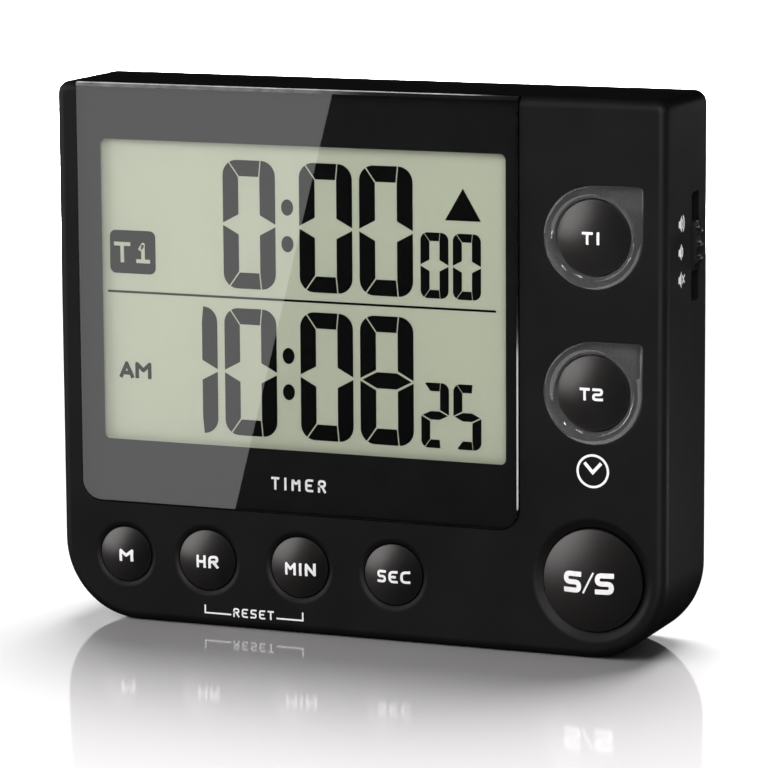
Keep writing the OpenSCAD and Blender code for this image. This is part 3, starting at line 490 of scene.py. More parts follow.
def resampled(points, pitch):
    """The same polyline with no step longer than pitch, and no two points in one place."""
    least = 1e-4
    out = [points[0]]
    for a, b in zip(points, points[1:]):
        count = max(1, math.ceil((b - a).length / pitch))
        out += [a + (b - a) * (i / count) for i in range(1, count + 1)]
    clean = [out[0]]
    for p in out[1:]:
        if (p - clean[-1]).length > least:
            clean.append(p)
    return clean


def face_place(depth_of):
    """Puts ink on a surface seen from the front: depth_of(x, z) is its depth."""
    return lambda x, z, lift: at(x, depth_of(x, z) - lift, z)


def add_stroke(bm, points, width, place, rise=INK_RISE, rows=2):
    """A ribbon of ink along points in millimetres; place(u, v, lift) gives the spot on the surface."""
    least_mitre = 0.35
    sides = []
    for i, p in enumerate(points):
        before = (p - points[i - 1]).normalized() if i else None
        after = (points[i + 1] - p).normalized() if i + 1 < len(points) else None
        along = ((before or after) + (after or before)).normalized()
        across = Vector((-along.y, along.x))
        square = Vector((-(after or before).y, (after or before).x))
        reach = width / 2 / max(least_mitre, across.dot(square))
        sides.append([p + across * reach * (2 * k / rows - 1) for k in range(rows + 1)])
    top, base = [], []
    for row in sides:
        top.append([bm.verts.new(place(q.x, q.y, rise)) for q in row])
        base.append([bm.verts.new(place(q.x, q.y, -INK_ROOT)) for q in row])
    for i in range(len(points) - 1):
        for k in range(rows):
            bm.faces.new((top[i][k], top[i][k + 1], top[i + 1][k + 1], top[i + 1][k]))
            bm.faces.new((base[i][k], base[i + 1][k], base[i + 1][k + 1], base[i][k + 1]))
        for k in (0, rows):
            bm.faces.new((top[i][k], top[i + 1][k], base[i + 1][k], base[i][k]))
    for i in (0, len(points) - 1):
        for k in range(rows):
            bm.faces.new((top[i][k], top[i][k + 1], base[i][k + 1], base[i][k]))


# Each letter is a list of strokes; each stroke is a string of grid points, quarters across and up
GLYPHS = {
    "M": ["00 04 22 44 40"],
    "H": ["00 04", "40 44", "02 42"],
    "R": ["00 04 44 42 02", "22 40"],
    "I": ["20 24"],
    "N": ["00 04 40 44"],
    "S": ["44 04 02 42 40 00"],
    "E": ["44 04 00 40", "02 32"],
    "C": ["44 04 00 40"],
    "T": ["04 44", "24 20"],
    "A": ["00 24 40", "11 31"],
    "2": ["04 44 42 02 00 40"],
    "1": ["13 24 20", "00 40"],
    "/": ["00 44"],
}


def letter(bm, glyph, x0, z0, x1, z1, width, corner, place):
    """Draws one letter so that its ink fills the box; each stroke lies a hair above the one before."""
    if glyph == "/":
        width *= SLASH_SHARE
    half = width / 2
    for layer, stroke in enumerate(GLYPHS[glyph]):
        points = [(x0 + half + int(u) / 4 * (x1 - x0 - width), z0 + half + int(v) / 4 * (z1 - z0 - width))
                  for u, v in stroke.split()]
        points = resampled(softened(butt_ends(points, half), corner), STROKE_STEP)
        add_stroke(bm, points, width, place, INK_RISE + INK_LAYER * layer)


def butt_ends(points, half):
    """Extends both ends so that a stroke's flat ends reach the edge of its box."""
    first, second = Vector(points[0]), Vector(points[1])
    last, prior = Vector(points[-1]), Vector(points[-2])
    out = [tuple(first + (first - second).normalized() * half)]
    out += list(points[1:-1])
    out.append(tuple(last + (last - prior).normalized() * half))
    return out


# The room that a letter takes, where it isn't 1
LETTER_SHARES = {"I": 0.35, "1": 0.62, "/": 0.62, "M": 1.12}


def word(bm, text, x0, x1, z0, z1, width, place, gap, corner=0.3):
    """Sets a word between x0 and x1, in strokes of the given width."""
    shares = [LETTER_SHARES.get(c, 1.0) for c in text]
    unit = (x1 - x0 - gap * (len(text) - 1)) / sum(shares)
    x = x0
    for c, share in zip(text, shares):
        letter(bm, c, x, z0, x + unit * share, z1, width, corner, place)
        x += unit * share + gap


def ink_piece(name, body, mat="legend"):
    """Starts a printed piece; returns its bmesh and a function that finishes it."""
    bm = bmesh.new()
    return bm, lambda: finish_mesh(name, bm, body, mat, sharp=60)


# ---- Display ----

# In mm: how far the film lies behind the face, how far the segments stand off it, and how thick they are
FILM_D, SEGMENT_LIFT, SEGMENT_THICK = 2.55, 0.02, 0.03
# A digit's width, height, upright stroke, level stroke, corner radius and gap between segments, in mm
BIG = dict(w=8.8, h=20.0, tv=2.6, th=2.5, r=2.4, gap=0.2)
SMALL = dict(w=4.55, h=10.1, tv=1.45, th=1.3, r=1.2, gap=0.1)
# Left edges of the digits, and how much lower the big ones stand
BIG_X, SMALL_X, BIG_DROP = (-31.7, -21.7, -8.94, 1.0), (11.0, 16.25), 0.05
# Each row: the height of its foot, its big digits and its small ones
ROWS = ((53.9, " 000", "00"), (30.9, "1008", "25"))
# The colon's dots: their place across, their heights above the row's foot and their two radii
COLON_X, COLON_RISES, COLON_R = -10.94, (12.85, 7.2), (1.0, 1.25)
LIT = {"0": "abcdef", "1": "bc", "2": "abged", "5": "afgcd", "8": "abcdefg"}


def add_plate(bm, shape, d0, d1):
    """A thin flat plate with the given outline between two depths."""
    add_loft(bm, [loop_at(shape, d0), loop_at(shape, d1)])


def seven_segments(w, h, tv, th, r, gap):
    """Outlines of the seven segments of a digit, from its lower left corner."""
    mid, g = h / 2, gap / 2
    scale = tv / BIG["tv"]
    notch, rise = 0.1 * scale, 1.47 * scale
    shoulder, tip, inner = 1.06 * scale, 0.35 * scale, tv + 0.15 * scale
    end_out, end_in = w - 2.45 * scale, w - tv - 0.1 * scale

    def arc(cx, cz, start, stop, steps=8):
        angles = [math.radians(start + (stop - start) * i / steps) for i in range(steps + 1)]
        return [(cx + r * math.cos(a), cz + r * math.sin(a)) for a in angles]

    def flip(shape):
        return [(x, h - z) for x, z in shape]

    cut = math.degrees(math.acos(max(-1.0, min(1.0, (r - shoulder) / r))))
    f = [(0, mid + notch + g)] + arc(r, h - r, 180, 180 - cut + 2)
    f += [(tv - g * 0.6, h - th - g), (tv, h - th - g * 2), (tv, mid + rise + g)]
    a = arc(r, h - r, 180 - cut - 3, 90) + [(end_out - g, h), (end_in - g, h - th), (tv + g * 1.4, h - th)]
    b = [(w, mid + notch + g), (w - tv, mid + rise + g), (end_in + g, h - th), (end_out + g, h)]
    b += arc(w - r, h - r, 90, 0)
    bar = [(tip, mid), (inner, mid - th / 2), (w - inner, mid - th / 2), (w - tip, mid),
           (w - inner, mid + th / 2), (inner, mid + th / 2)]
    return {"a": a, "b": b, "c": flip(b), "d": flip(a), "e": flip(f), "f": f, "g": bar}


def digit(bm, value, x0, z0, depth, size):
    """The lit segments of one digit."""
    shapes = seven_segments(**size)
    for name in LIT[value]:
        add_plate(bm, [(x0 + x, z0 + z) for x, z in shapes[name]], depth - SEGMENT_THICK, depth)


def sunk_x(*values, depth=FILM_D):
    """Marks are set out on the face plane; this moves them in line with the eye to another depth."""
    return [x + (x - EYE.x) * depth / -EYE.y for x in values]


def sunk_z(*values, depth=FILM_D):
    """The same for heights."""
    return [z + (z - EYE.z) * depth / -EYE.y for z in values]


def make_film():
    """The film that shows behind the window."""
    corner, thick = 0.4, 0.15
    x0, x1, _, _, z0, z1 = extent("front_polariser")
    bm = bmesh.new()
    add_plate(bm, rounded(x0, z0, x1, z1, corner, 3), FILM_D, FILM_D + thick)
    finish_mesh("display_film", bm, "root", "film", ["front_polariser"])


def make_segments():
    """The dark digits, colons, triangle, rule, badge and AM sign."""
    depth = FILM_D - SEGMENT_LIFT
    bm, done = ink_piece("display_segments", "root", "segment")
    marks = []
    for row_z, digits, seconds in ROWS:
        for x, value in zip(BIG_X, digits):
            if value != " ":
                digit(bm, value, *sunk_x(x), *sunk_z(row_z - BIG_DROP), depth, BIG)
        for x, value in zip(SMALL_X, seconds):
            digit(bm, value, *sunk_x(x), *sunk_z(row_z), depth, SMALL)
        for rise in COLON_RISES:
            turns = [2 * math.pi * i / 32 for i in range(32)]
            marks.append([(COLON_X + COLON_R[0] * math.cos(t), row_z + rise + COLON_R[1] * math.sin(t))
                          for t in turns])
    triangle = [(15.0, 65.9), (20.8, 65.9), (17.9, 70.8)]
    rule = rounded(-41.6, 52.22, 23.2, 52.57, 0.1, 2)
    badge = rounded(-41.1, 55.3, -33.3, 62.06, 1.0)
    for mark in [*marks, triangle, rule, badge]:
        add_plate(bm, [(*sunk_x(x), *sunk_z(z)) for x, z in mark], depth - SEGMENT_THICK, depth)
    flat = face_place(lambda x, z: depth - SEGMENT_THICK + INK_RISE)
    word(bm, "AM", *sunk_x(-39.8, -34.3), *sunk_z(38.8, 41.4), width=0.62, place=flat, gap=0.25, corner=0.02)
    done()


def make_badge_letters():
    """T1 in the film's colour, a hair in front of the badge."""
    bm, done = ink_piece("display_badge_letters", "root", "film")
    over = face_place(lambda x, z: FILM_D - SEGMENT_LIFT - SEGMENT_THICK - INK_ROOT)
    low, high = sunk_z(57.0, 60.2)
    for glyph, start, end in (("T", -40.4, -37.6), ("1", -36.6, -34.25)):
        left, right = sunk_x(start, end)
        letter(bm, glyph, left, low, right, high, width=0.6, corner=0.02, place=over)
    done()


# ---- Panel ----

# The window left open in the print: its left, lower, right and upper edges and its corner radius, in mm
WINDOW = (-43.1, 28.75, 24.3, 76.1, 0.9)
PANEL_CORNER_R = 3.3


def make_panel_sheet():
    """The clear sheet with its lighter cut edges: softened in front, with a chamfer along its top."""
    x0, x1, d0, d1, z0, z1 = extent("display_panel")
    square, chamfer, soft, land = 0.02, 0.6, 0.2, 0.12
    half = soft / 2

    def outline(inset, top):
        foot_r = PANEL_CORNER_R - inset
        return rounded(x0 + inset, z0 + inset, x1 - inset, top, [foot_r, foot_r, square, square])

    bm = bmesh.new()
    add_loft(bm, [
        loop_at(outline(soft, z1 - chamfer), d0),
        loop_at(outline(half, z1 - chamfer + half), d0 + half),
        loop_at(outline(0.0, z1 - chamfer + soft), d0 + soft),
        loop_at(outline(0.0, z1 - land), d0 + chamfer - land),
        loop_at(outline(0.0, z1), d0 + chamfer + half),
        loop_at(outline(0.0, z1), d1),
    ])
    for face in bm.faces:
        if len(face.verts) == 4:
            face.material_index = 1
    finish_mesh("panel_sheet", bm, "root", ["panel", "panel_edge"], ["display_panel"],
                sharp=12)


def make_panel_print():
    """The black print behind the sheet, and the word below the window."""
    x0, x1, _, back, z0, z1 = extent("display_panel")
    side, top, top_r = 0.12, 0.5, 0.3
    front, rear = back - 0.01, back + 0.05
    outer = rounded(x0 + side, z0 + side, x1 - side, z1 - top, [PANEL_CORNER_R, PANEL_CORNER_R, top_r, top_r])
    inner = rounded(*WINDOW)
    bm = bmesh.new()
    add_loft(bm, [loop_at(outer, front), loop_at(inner, front), loop_at(inner, rear), loop_at(outer, rear)],
             closed=True)
    finish_mesh("panel_print", bm, "root", "ink")

    bm, done = ink_piece("panel_wording", "root")
    flat = face_place(lambda x, z: back - INK_RISE)
    word(bm, "TIMER", -14.6, -5.4, 22.4, 24.4, width=0.36, place=flat, gap=0.8, corner=0.4)
    done()


# ---- Light rings ----

RING_POINTS = 144


def teardrop(x, z, r, corner, n=RING_POINTS):
    """A circle with one nearly square corner, towards +X and +Z."""
    points = []
    c = r - corner
    for i in range(n):
        a = 2 * math.pi * (i + 0.5) / n
        ux, uz = math.cos(a), math.sin(a)
        reach = r
        if ux > 0 and uz > 0:
            reach = r / max(ux, uz)
            if ux * reach > c and uz * reach > c:
                dot = (ux + uz) * c
                reach = dot + math.sqrt(max(dot * dot - 2 * c * c + corner * corner, 0.0))
        points.append((x + ux * reach, z + uz * reach))
    return points


def make_ring(node, key_node):
    """The clear ring round a timer key, softened outside and bevelled inside, with its light pipe."""
    x, z = middle(key_node)
    _, x1, d0, pipe_end, _, _ = extent(node)
    hole, base, corner = 5.95, 1.46, 0.7
    pipe_offset, pipe_r, hair = 6.1, 1.4, 0.01

    def outer(inset, corner_r):
        return teardrop(x, z, x1 - x - inset, corner_r)

    def inner(margin):
        turns = [2 * math.pi * (i + 0.5) / RING_POINTS for i in range(RING_POINTS)]
        return [(x + (hole + margin) * math.cos(a), z + (hole + margin) * math.sin(a)) for a in turns]

    bm = bmesh.new()
    add_loft(bm, [
        loop_at(outer(0.0, corner), base),
        loop_at(outer(0.0, corner), d0 + 0.22),
        loop_at(outer(0.06, corner - 0.04), d0 + 0.07),
        loop_at(outer(0.22, corner - 0.1), d0),
        loop_at(inner(0.62), d0),
        loop_at(inner(0.52), d0 + 0.04),
        loop_at(inner(0.08), 0.22),
        loop_at(inner(0.0), 0.34),
        loop_at(inner(0.0), base),
    ], closed=True)
    base_y = at(0, base - hair, 0).y
    for face in bm.faces:
        if all(v.co.y > base_y for v in face.verts):
            face.material_index = 1
    made = len(bm.faces)
    pipe_start = base + hair
    add_turned(bm, x + pipe_offset, z + pipe_offset,
               [(0, pipe_start), (pipe_r, pipe_start), (pipe_r, pipe_end), (0, pipe_end)], 32)
    bm.faces.ensure_lookup_table()
    for face in bm.faces[made:]:
        face.material_index = 2
    obj = finish_mesh(node + "_clear", bm, "root", ["ring", "ring_base", "pipe"], [node])
    obj.visible_shadow = False


# ---- Keypad ----

def make_keypad():
    """The rubber web, and one dome under each key, each with a mesh of its own."""
    x0, x1, dome_top, board, z0, z1 = extent("keypad_mat")
    web = board - 0.8
    foot_top, column_x, joint_gap = 18.6, 30.8, 0.1
    foot_r, corner = 9.9, 0.4
    top_r, shoulder_r, dome_r, hair = 2.0, 2.9, 3.7, 0.01
    bm = bmesh.new()
    foot = rounded(x0, z0, x1, foot_top, [foot_r, foot_r, corner, corner])
    add_loft(bm, [loop_at(foot, web), loop_at(foot, board)])
    column = rounded(column_x, foot_top + joint_gap, x1, z1, corner)
    add_loft(bm, [loop_at(column, web), loop_at(column, board)])
    finish_mesh("keypad_web", bm, "root", "rubber", ["keypad_mat"])
    profile = [(0, dome_top), (top_r, dome_top), (top_r + 0.3, dome_top + 0.15), (shoulder_r, dome_top + 0.8),
               (dome_r, web - 2 * hair), (dome_r, web - hair), (0, web - hair)]
    for node in KEYS:
        x, z = middle(node)
        bm = bmesh.new()
        add_turned(bm, x, z, profile, 48)
        dome = finish_mesh(node.replace("_key", "_dome"), bm, "root", "rubber")
        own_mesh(dome)


# ---- Legends ----

# Set out on the face plane. For each key: the text, then in mm its left, right, lower and upper limits,
# stroke width, gap between letters and corner radius
KEY_LEGENDS = {
    "memory_key": ("M", -40.4, -38.07, 9.4, 11.33, 0.46, 0, 0.02),
    "hour_key": ("HR", -27.07, -23.4, 9.35, 11.35, 0.42, 0.42, 0.5),
    "minute_key": ("MIN", -12.0, -6.93, 9.3, 11.3, 0.42, 0.45, 0.02),
    "second_key": ("SEC", 3.47, 8.83, 9.3, 11.25, 0.4, 0.42, 0.7),
    "start_stop_key": ("S/S", 33.9, 41.9, 10.1, 13.37, 0.76, 0.2, 1.1),
    "timer_1_key": ("TI", 36.83, 39.67, 63.2, 65.1, 0.4, 0.5, 0.05),
    "timer_2_key": ("T2", 36.5, 40.17, 39.67, 41.57, 0.4, 0.4, 0.6),
}


def make_key_legends(keys):
    """White printing on the crowns of the keys."""
    for node, (text, x0, x1, z0, z1, width, gap, corner) in KEY_LEGENDS.items():
        key = keys[node]
        crown = -key["crown"]
        bm, done = ink_piece(node + "_legend", node)
        place = face_place(lambda x, z, key=key: dome_depth(key, x, z))
        word(bm, text, *sunk_x(x0, x1, depth=crown), *sunk_z(z0, z1, depth=crown), width, place, gap, corner)
        done()


def make_face_legends():
    """The word RESET with its bracket, and the clock sign."""
    bm, done = ink_piece("face_legends", "root")
    flat = face_place(lambda x, z: 0.0)

    def line(points, width):
        add_stroke(bm, [Vector(p) for p in points], width, flat)

    word(bm, "RESET", -20.83, -13.9, 1.9, 3.33, width=0.26, place=flat, gap=0.42)
    low, high, left, right, thin = 2.23, 3.5, -25.63, -9.0, 0.25
    line([(left, high), (left, low), (-21.2, low)], thin)
    line([(-13.45, low), (right, low), (right, high)], thin)
    cx, cz, clock_r, clock_bore = 38.65, 28.96, 2.59, 2.23
    rim, bore = circle(cx, cz, clock_r, 64), circle(cx, cz, clock_bore, 64)
    add_loft(bm, [loop_at(rim, -INK_RISE), loop_at(bore, -INK_RISE), loop_at(bore, INK_ROOT),
                  loop_at(rim, INK_ROOT)], closed=True)
    hand_x, hand_z, hub_drop = 1.32, 1.25, 0.2
    line([(cx - hand_x, cz + hand_z), (cx, cz - hub_drop), (cx + hand_x, cz + hand_z)], 0.5)
    done()


# The symbols beside the volume slide: their depth behind the face, and each one's height and waves
ICON_D = 5.5
ICONS = {"loud": (66.0, 2), "low": (61.75, 1), "mute": (57.6, 0)}


def make_volume_icons():
    """A loudspeaker with two waves, one wave or a cross."""
    box, mouth, box_w, horn_w, thin = 0.5, 1.25, 0.55, 1.35, 0.3
    wave_x, wave_r, wave_step = 1.0, 0.9, 0.62
    cross_start, cross_end, cross_h = 1.7, 2.8, 0.6
    wall_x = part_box("front_housing")[1].x / MM
    half_horn = [(0, box), (box_w, box), (horn_w, mouth)]

    def place(u, v, lift):
        return at(wall_x + lift, u, v)

    for name, (z, waves) in ICONS.items():
        bm, done = ink_piece("icon_" + name, "root")
        horn = [(ICON_D + u, z - v) for u, v in half_horn]
        horn += [(ICON_D + u, z + v) for u, v in reversed(half_horn)]
        add_loft(bm, [[place(u, v, INK_RISE) for u, v in horn], [place(u, v, -INK_ROOT) for u, v in horn]])
        for k in range(waves):
            r = wave_r + wave_step * k
            arc = [Vector((ICON_D + wave_x + r * math.cos(a), z + r * math.sin(a)))
                   for a in (math.radians(-50 + 10 * i) for i in range(11))]
            add_stroke(bm, arc, thin, place)
        if not waves:
            for side in (-1, 1):
                ends = (ICON_D + cross_start, z + side * cross_h), (ICON_D + cross_end, z - side * cross_h)
                add_stroke(bm, [Vector(end) for end in ends], thin, place)
        done()


# ---- Case, knob, door and stand ----

def make_case():
    """The mouldings, with a small radius on their edges."""
    refine("front_housing", "case", mouths=0.28)
    refine("rear_housing", "case")
    refine("battery_door", "case", 0.1)
    refine("stand", "case", 0.15)
    refine("volume_knob", "knob", 0.1)


# ---- Inner pieces that stay as the CAD made them ----

INNER = {
    "panel_adhesive": "adhesive", "lcd_front_glass": "glass", "lcd_rear_glass": "glass",
    "rear_polariser": "polariser", "lcd_tray": "tray", "contact_strip": "strip", "timer_1_led": "led",
    "timer_2_led": "led", "circuit_board": "board", "controller_chip": "chip", "crystal": "steel",
    "electrolytic_capacitor": "sleeve", "ceramic_capacitors": "tan", "resistors": "chip",
    "driver_transistor": "chip", "booster_coil": "ferrite", "volume_switch_body": "steel",
    "volume_switch_lever": "nylon", "buzzer_plate": "brass", "buzzer_ceramic": "silvered",
    "battery_cell_1": "label_dark", "battery_cell_2": "label_dark", "contact_springs": "steel",
    "bridge_contact": "steel", "positive_contact": "steel", "negative_contact": "steel",
    "battery_lead_red": "red_pvc", "battery_lead_black": "black_pvc", "buzzer_leads": "red_pvc",
    "magnets": "nickel", "case_screws": "steel", "board_screws": "steel",
}


def paint_inner():
    """Gives the inner pieces their materials, and the battery cells bare metal ends."""
    for node, mat in INNER.items():
        obj = frame["nodes"][node]
        obj.data.materials.clear()
        obj.data.materials.append(MAT[mat])
    sleeve_edge = 0.3 * MM
    for node in ("battery_cell_1", "battery_cell_2"):
        obj = frame["nodes"][node]
        low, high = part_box(node)
        axis_y, axis_z = (low.y + high.y) / 2, (low.z + high.z) / 2
        end_r = (high.z - low.z) / 2 - sleeve_edge
        obj.data.materials.append(MAT["nickel"])
        for face in obj.data.polygons:
            spot = obj.matrix_world @ face.center
            if math.hypot(spot.y - axis_y, spot.z - axis_z) < end_r:
                face.material_index = 1


# ---- Stage: camera, floor, world and lights ----

WHITE = (1, 1, 1)
LENS, SENSOR = 199.86, 36


def make_camera():
    """The camera at EYE; returns where it stands, in metres."""
    yaw, roll = math.radians(YAW), math.radians(ROLL)
    forward = sight_line()
    right = Vector((math.cos(yaw), math.sin(yaw), 0))
    up = right.cross(forward)
    level_right = math.cos(roll) * right + math.sin(roll) * up
    level_up = -math.sin(roll) * right + math.cos(roll) * up
    cam = bpy.data.objects.new("camera", bpy.data.cameras.new("camera"))
    scene.collection.objects.link(cam)
    cam.matrix_world = Matrix((
        (level_right.x, level_up.x, -forward.x, 0), (level_right.y, level_up.y, -forward.y, 0),
        (level_right.z, level_up.z, -forward.z, 0), (0, 0, 0, 1)))
    cam.location = at(*AIM) - forward * RANGE * MM
    cam.data.lens = LENS
    cam.data.sensor_width = SENSOR
    cam.data.clip_start = 0.05
    cam.data.clip_end = 50
    scene.camera = cam
    return cam.location.copy()


def only_on(light, *objs):
    """The light reaches only these objects."""
    group = bpy.data.collections.new(light.name + "_receivers")
    for o in objs:
        group.objects.link(o)
    light.light_linking.receiver_collection = group


def hide_from(obj, *rays):
    """The object isn't seen by these kinds of ray."""
    for kind in rays:
        setattr(obj, "visible_" + kind, False)


def flat_piece(name, points):
    """A single face in the scene, on the stage."""
    bm = bmesh.new()
    bm.faces.new([bm.verts.new(p) for p in points])
    mesh = bpy.data.meshes.new(name)
    bm.to_mesh(mesh)
    bm.free()
    obj = bpy.data.objects.new(name, mesh)
    scene.collection.objects.link(obj)
    return obj


def glow(name, points, strength):
    """A flat glowing white card on the stage, seen only in reflections."""
    card = flat_piece(name, points)
    mat = bpy.data.materials.new(name)
    mat.use_nodes = True
    mat.node_tree.nodes.clear()
    light = mat.node_tree.nodes.new("ShaderNodeEmission")
    light.inputs["Color"].default_value = (*WHITE, 1)
    light.inputs["Strength"].default_value = strength
    out = mat.node_tree.nodes.new("ShaderNodeOutputMaterial")
    mat.node_tree.links.new(light.outputs[0], out.inputs["Surface"])
    card.data.materials.append(mat)
    return card


def turn_to(lamp, direction):
    """Turns a lamp so that it shines in a direction, and puts it in the scene."""
    lamp.rotation_mode = "QUATERNION"
    lamp.rotation_quaternion = direction.to_track_quat("-Z", "Y")
    scene.collection.objects.link(lamp)


def softbox(name, place, aim, width, power, height=None, colour=WHITE, only=None):
    """A rectangular light, in metres and watts, that faces aim; only holds the pieces that it reaches."""
    data = bpy.data.lights.new(name, "AREA")
    data.shape = "RECTANGLE"
    data.size = width
    data.size_y = height or width
    data.energy = power
    data.color = colour
    lamp = bpy.data.objects.new(name, data)
    lamp.location = place
    turn_to(lamp, Vector(aim) - Vector(place))
    lamp.visible_camera = False
    if only:
        only_on(lamp, *only)


def mirror_card(name, eye, panel, normal, spot, strength, corners, reach=0.30):
    """A glowing card that the eye sees mirrored in a plane of the panel, over the corners given on it."""
    n = Vector(normal).normalized()
    image = eye - 2 * (eye - spot).dot(n) * n

    def thrown(x, d, z):
        p = at(x, d, z)
        p -= (p - spot).dot(n) * n
        return p + (p - image).normalized() * reach

    card = glow(name, [thrown(*c) for c in corners], strength)
    hide_from(card, "camera", "diffuse", "transmission", "shadow", "volume_scatter")
    only_on(card, panel)


def level_card(name, x0, x1, y0, y1, z, strength, only):
    """A level glowing card that only some pieces see."""
    card = glow(name, [(x0, y1, z), (x1, y1, z), (x1, y0, z), (x0, y0, z)], strength)
    hide_from(card, "camera", "diffuse", "shadow", "volume_scatter")
    only_on(card, *only)


def make_floor():
    """A wide white floor, which pieces don't see mirrored in themselves."""
    reach = 6
    floor = flat_piece("floor", [(x, y, 0) for x, y in rounded(-reach, -reach, reach, reach, 1.0)])
    white = surface("white_floor", grey(0.86), grey(0.88), rough=0.06, cells=3, tone=0.02)
    floor.data.materials.append(white)
    hide_from(floor, "glossy")
    return floor


def make_world():
    """White to the camera; for light and reflections dim, and a little brighter overhead."""
    world = bpy.data.worlds.new("studio")
    scene.world = world
    world.use_nodes = True
    tree = world.node_tree
    tree.nodes.clear()
    out = tree.nodes.new("ShaderNodeOutputWorld")
    seen = tree.nodes.new("ShaderNodeBackground")
    seen.inputs["Color"].default_value = (*WHITE, 1)
    seen.inputs["Strength"].default_value = 1.0
    dim = tree.nodes.new("ShaderNodeBackground")
    coord = tree.nodes.new("ShaderNodeTexCoord")
    axes = tree.nodes.new("ShaderNodeSeparateXYZ")
    tree.links.new(coord.outputs["Generated"], axes.inputs[0])
    rise = tree.nodes.new("ShaderNodeMapRange")
    rise.inputs["From Min"].default_value = 0.25
    rise.inputs["From Max"].default_value = 0.85
    rise.inputs["To Min"].default_value = 0.008
    rise.inputs["To Max"].default_value = 0.12
    tree.links.new(axes.outputs["Z"], rise.inputs["Value"])
    tree.links.new(rise.outputs["Result"], dim.inputs["Strength"])
    path = tree.nodes.new("ShaderNodeLightPath")
    mix = tree.nodes.new("ShaderNodeMixShader")
    tree.links.new(path.outputs["Is Camera Ray"], mix.inputs[0])
    tree.links.new(dim.outputs[0], mix.inputs[1])
    tree.links.new(seen.outputs[0], mix.inputs[2])
    tree.links.new(mix.outputs[0], out.inputs["Surface"])


def make_lights(floor, rings):
    """Large soft lights, a sun for the floor only, and small lights for the housings and the rings."""
    middle_of_case = (0, 0, 0.045)
    softbox("key_light", (-1.0, -0.62, 0.52), middle_of_case, 1.3, power=13, colour=(1.0, 0.965, 0.955))
    softbox("side_light", (1.2, 0.9, 0.03), (0, 0, 0.03), 0.8, power=0.7, height=0.06)
    softbox("back_light", (-0.3, 1.0, 0.045), middle_of_case, 0.9, power=5, height=0.07)
    ours = [o for o in bpy.data.objects if o.type == "MESH" and "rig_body" in o]
    matt = [o for o in ours if not o.name.endswith(("_cap", "_clear", "_sheet"))]
    softbox("front_fill", (0.7, -1.5, 0.9), (0, 0, 0.04), 1.2, power=27, only=matt)

    data = bpy.data.lights.new("floor_light", "SUN")
    data.energy = 4.2
    data.angle = math.radians(40)
    data.color = (1.0, 0.98, 0.975)
    sun = bpy.data.objects.new("floor_light", data)
    turn_to(sun, Vector((0.05, -1.0, -1.9)))
    only_on(sun, floor)

    front, rear = (bpy.data.objects[side + "_housing_moulding"] for side in ("front", "rear"))
    foot, near_ring, ring_side = (0, 0, 0.02), (0.03, 0, 0.05), (0.038, 0, 0.055)
    softbox("rim_light_left", (-0.75, -0.27, 0.05), foot, 0.1, power=0.8, height=0.3, only=[front])
    softbox("rim_light_right", (0.16, -0.33, 0.02), foot, 0.05, power=0.25, height=0.04, only=[front])
    softbox("side_light_low", (0.14, 0.055, 0.006), (0.05, 0, 0.006), 0.03, power=0.02, height=0.008,
            only=[front, rear])
    softbox("ring_light_left", (-0.5, -0.2, 0.1), near_ring, 0.035, power=3.4, height=0.4, only=rings)
    softbox("ring_light_right", (0.2, -0.194, 0.026), ring_side, 0.025, power=0.3, height=0.05, only=rings)
    softbox("ring_light_high", (0.18, -0.31, 0.27), ring_side, 0.06, power=1.1, only=rings)


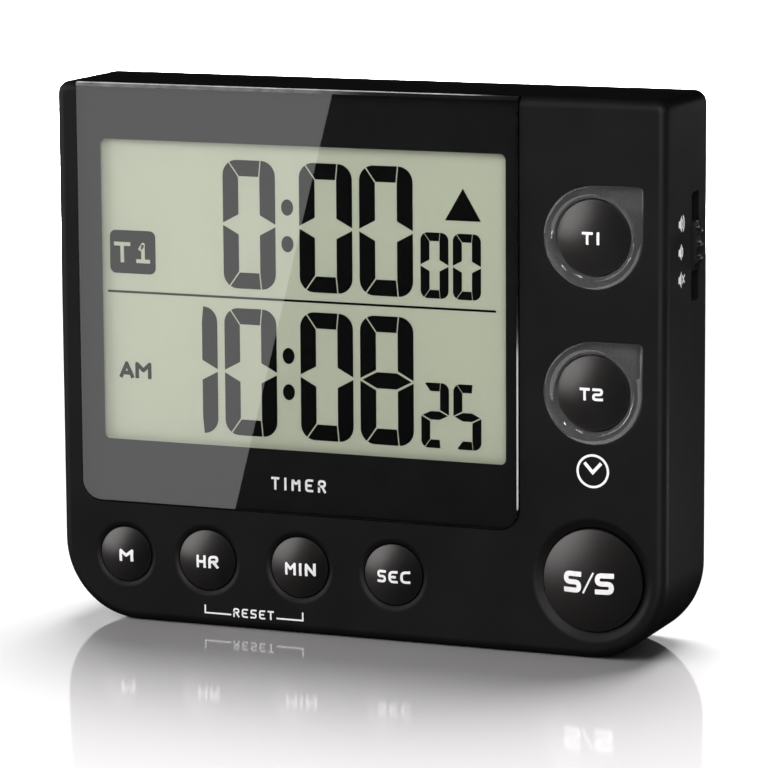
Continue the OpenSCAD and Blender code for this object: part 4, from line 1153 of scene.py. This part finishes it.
def make_cards(eye, floor, rings):
    """Glowing cards that show only in the panel, in the rings or in the floor."""
    panel = bpy.data.objects["panel_sheet"]
    _, x1, d0, _, _, z1 = extent("display_panel")
    past = -70
    # the front looks lighter to the left of a slanted line
    mirror_card("panel_card", eye, panel, (0, -1, 0), at(0, d0, 50), 0.65,
                [(-2.6, d0, 86.5), (-20.6, d0, 17.2), (past, d0, 17.2), (past, d0, 86.5)])
    # the left part of the chamfer along the top
    mirror_card("bevel_card", eye, panel, (0, -1, 1), at(0, d0 + 0.3, z1 - 0.3), 6.5,
                [(-1.0, d0 + 2, z1 + 1.4), (-3.5, d0 - 2, z1 - 2.6), (past, d0 - 2, z1 - 2.6),
                 (past, d0 + 2, z1 + 1.4)])
    # the thin line above it
    mirror_card("top_line_card", eye, panel, (0, -0.48, 0.88), at(0, d0 + 0.6, z1 - 0.06), 12.0,
                [(past, d0 + 4, z1 + 2), (20, d0 + 4, z1 + 2), (20, d0 - 4, z1 - 2.3),
                 (past, d0 - 4, z1 - 2.3)])
    # the lower part of the right edge
    mirror_card("right_line_card", eye, panel, (1, -1, 0), at(x1 - 0.1, d0 + 0.1, 40), 14.0,
                [(x1 - 3, d0 - 2.8, 21), (x1 + 3, d0 + 3.2, 21), (x1 + 3, d0 + 3.2, 47),
                 (x1 - 3, d0 - 2.8, 47)], reach=0.10)

    # the white table as the rings see it, just under the floor, and a strip above them
    level_card("ring_table_card", 0.0, 0.35, -0.35, -0.02, -0.001, 2.2, rings)
    level_card("ring_strip_card", 0.03, 0.09, -0.13, -0.05, 0.32, 12.0, rings)

    # a white wall far behind, which only the floor reflects
    wall = glow("backdrop", [(-8, 4.5, -1), (8, 4.5, -1), (8, 4.5, 6), (-8, 4.5, 6)], 1.0)
    hide_from(wall, "shadow", "diffuse")
    only_on(wall, floor)


def main():
    """Makes every piece, then the stage round them."""
    keys = {node: make_key(node, edge) for node, edge in KEYS.items()}
    make_case()
    make_panel_sheet()
    make_panel_print()
    make_film()
    make_segments()
    make_badge_letters()
    make_ring("timer_1_light_ring", "timer_1_key")
    make_ring("timer_2_light_ring", "timer_2_key")
    make_keypad()
    make_key_legends(keys)
    make_face_legends()
    make_volume_icons()
    paint_inner()
    eye = make_camera()
    floor = make_floor()
    make_world()
    rings = [o for o in bpy.data.objects if o.name.endswith("ring_clear")]
    make_lights(floor, rings)
    make_cards(eye, floor, rings)
    scene.view_settings.view_transform = "Standard"
    scene.view_settings.look = "None"


main()
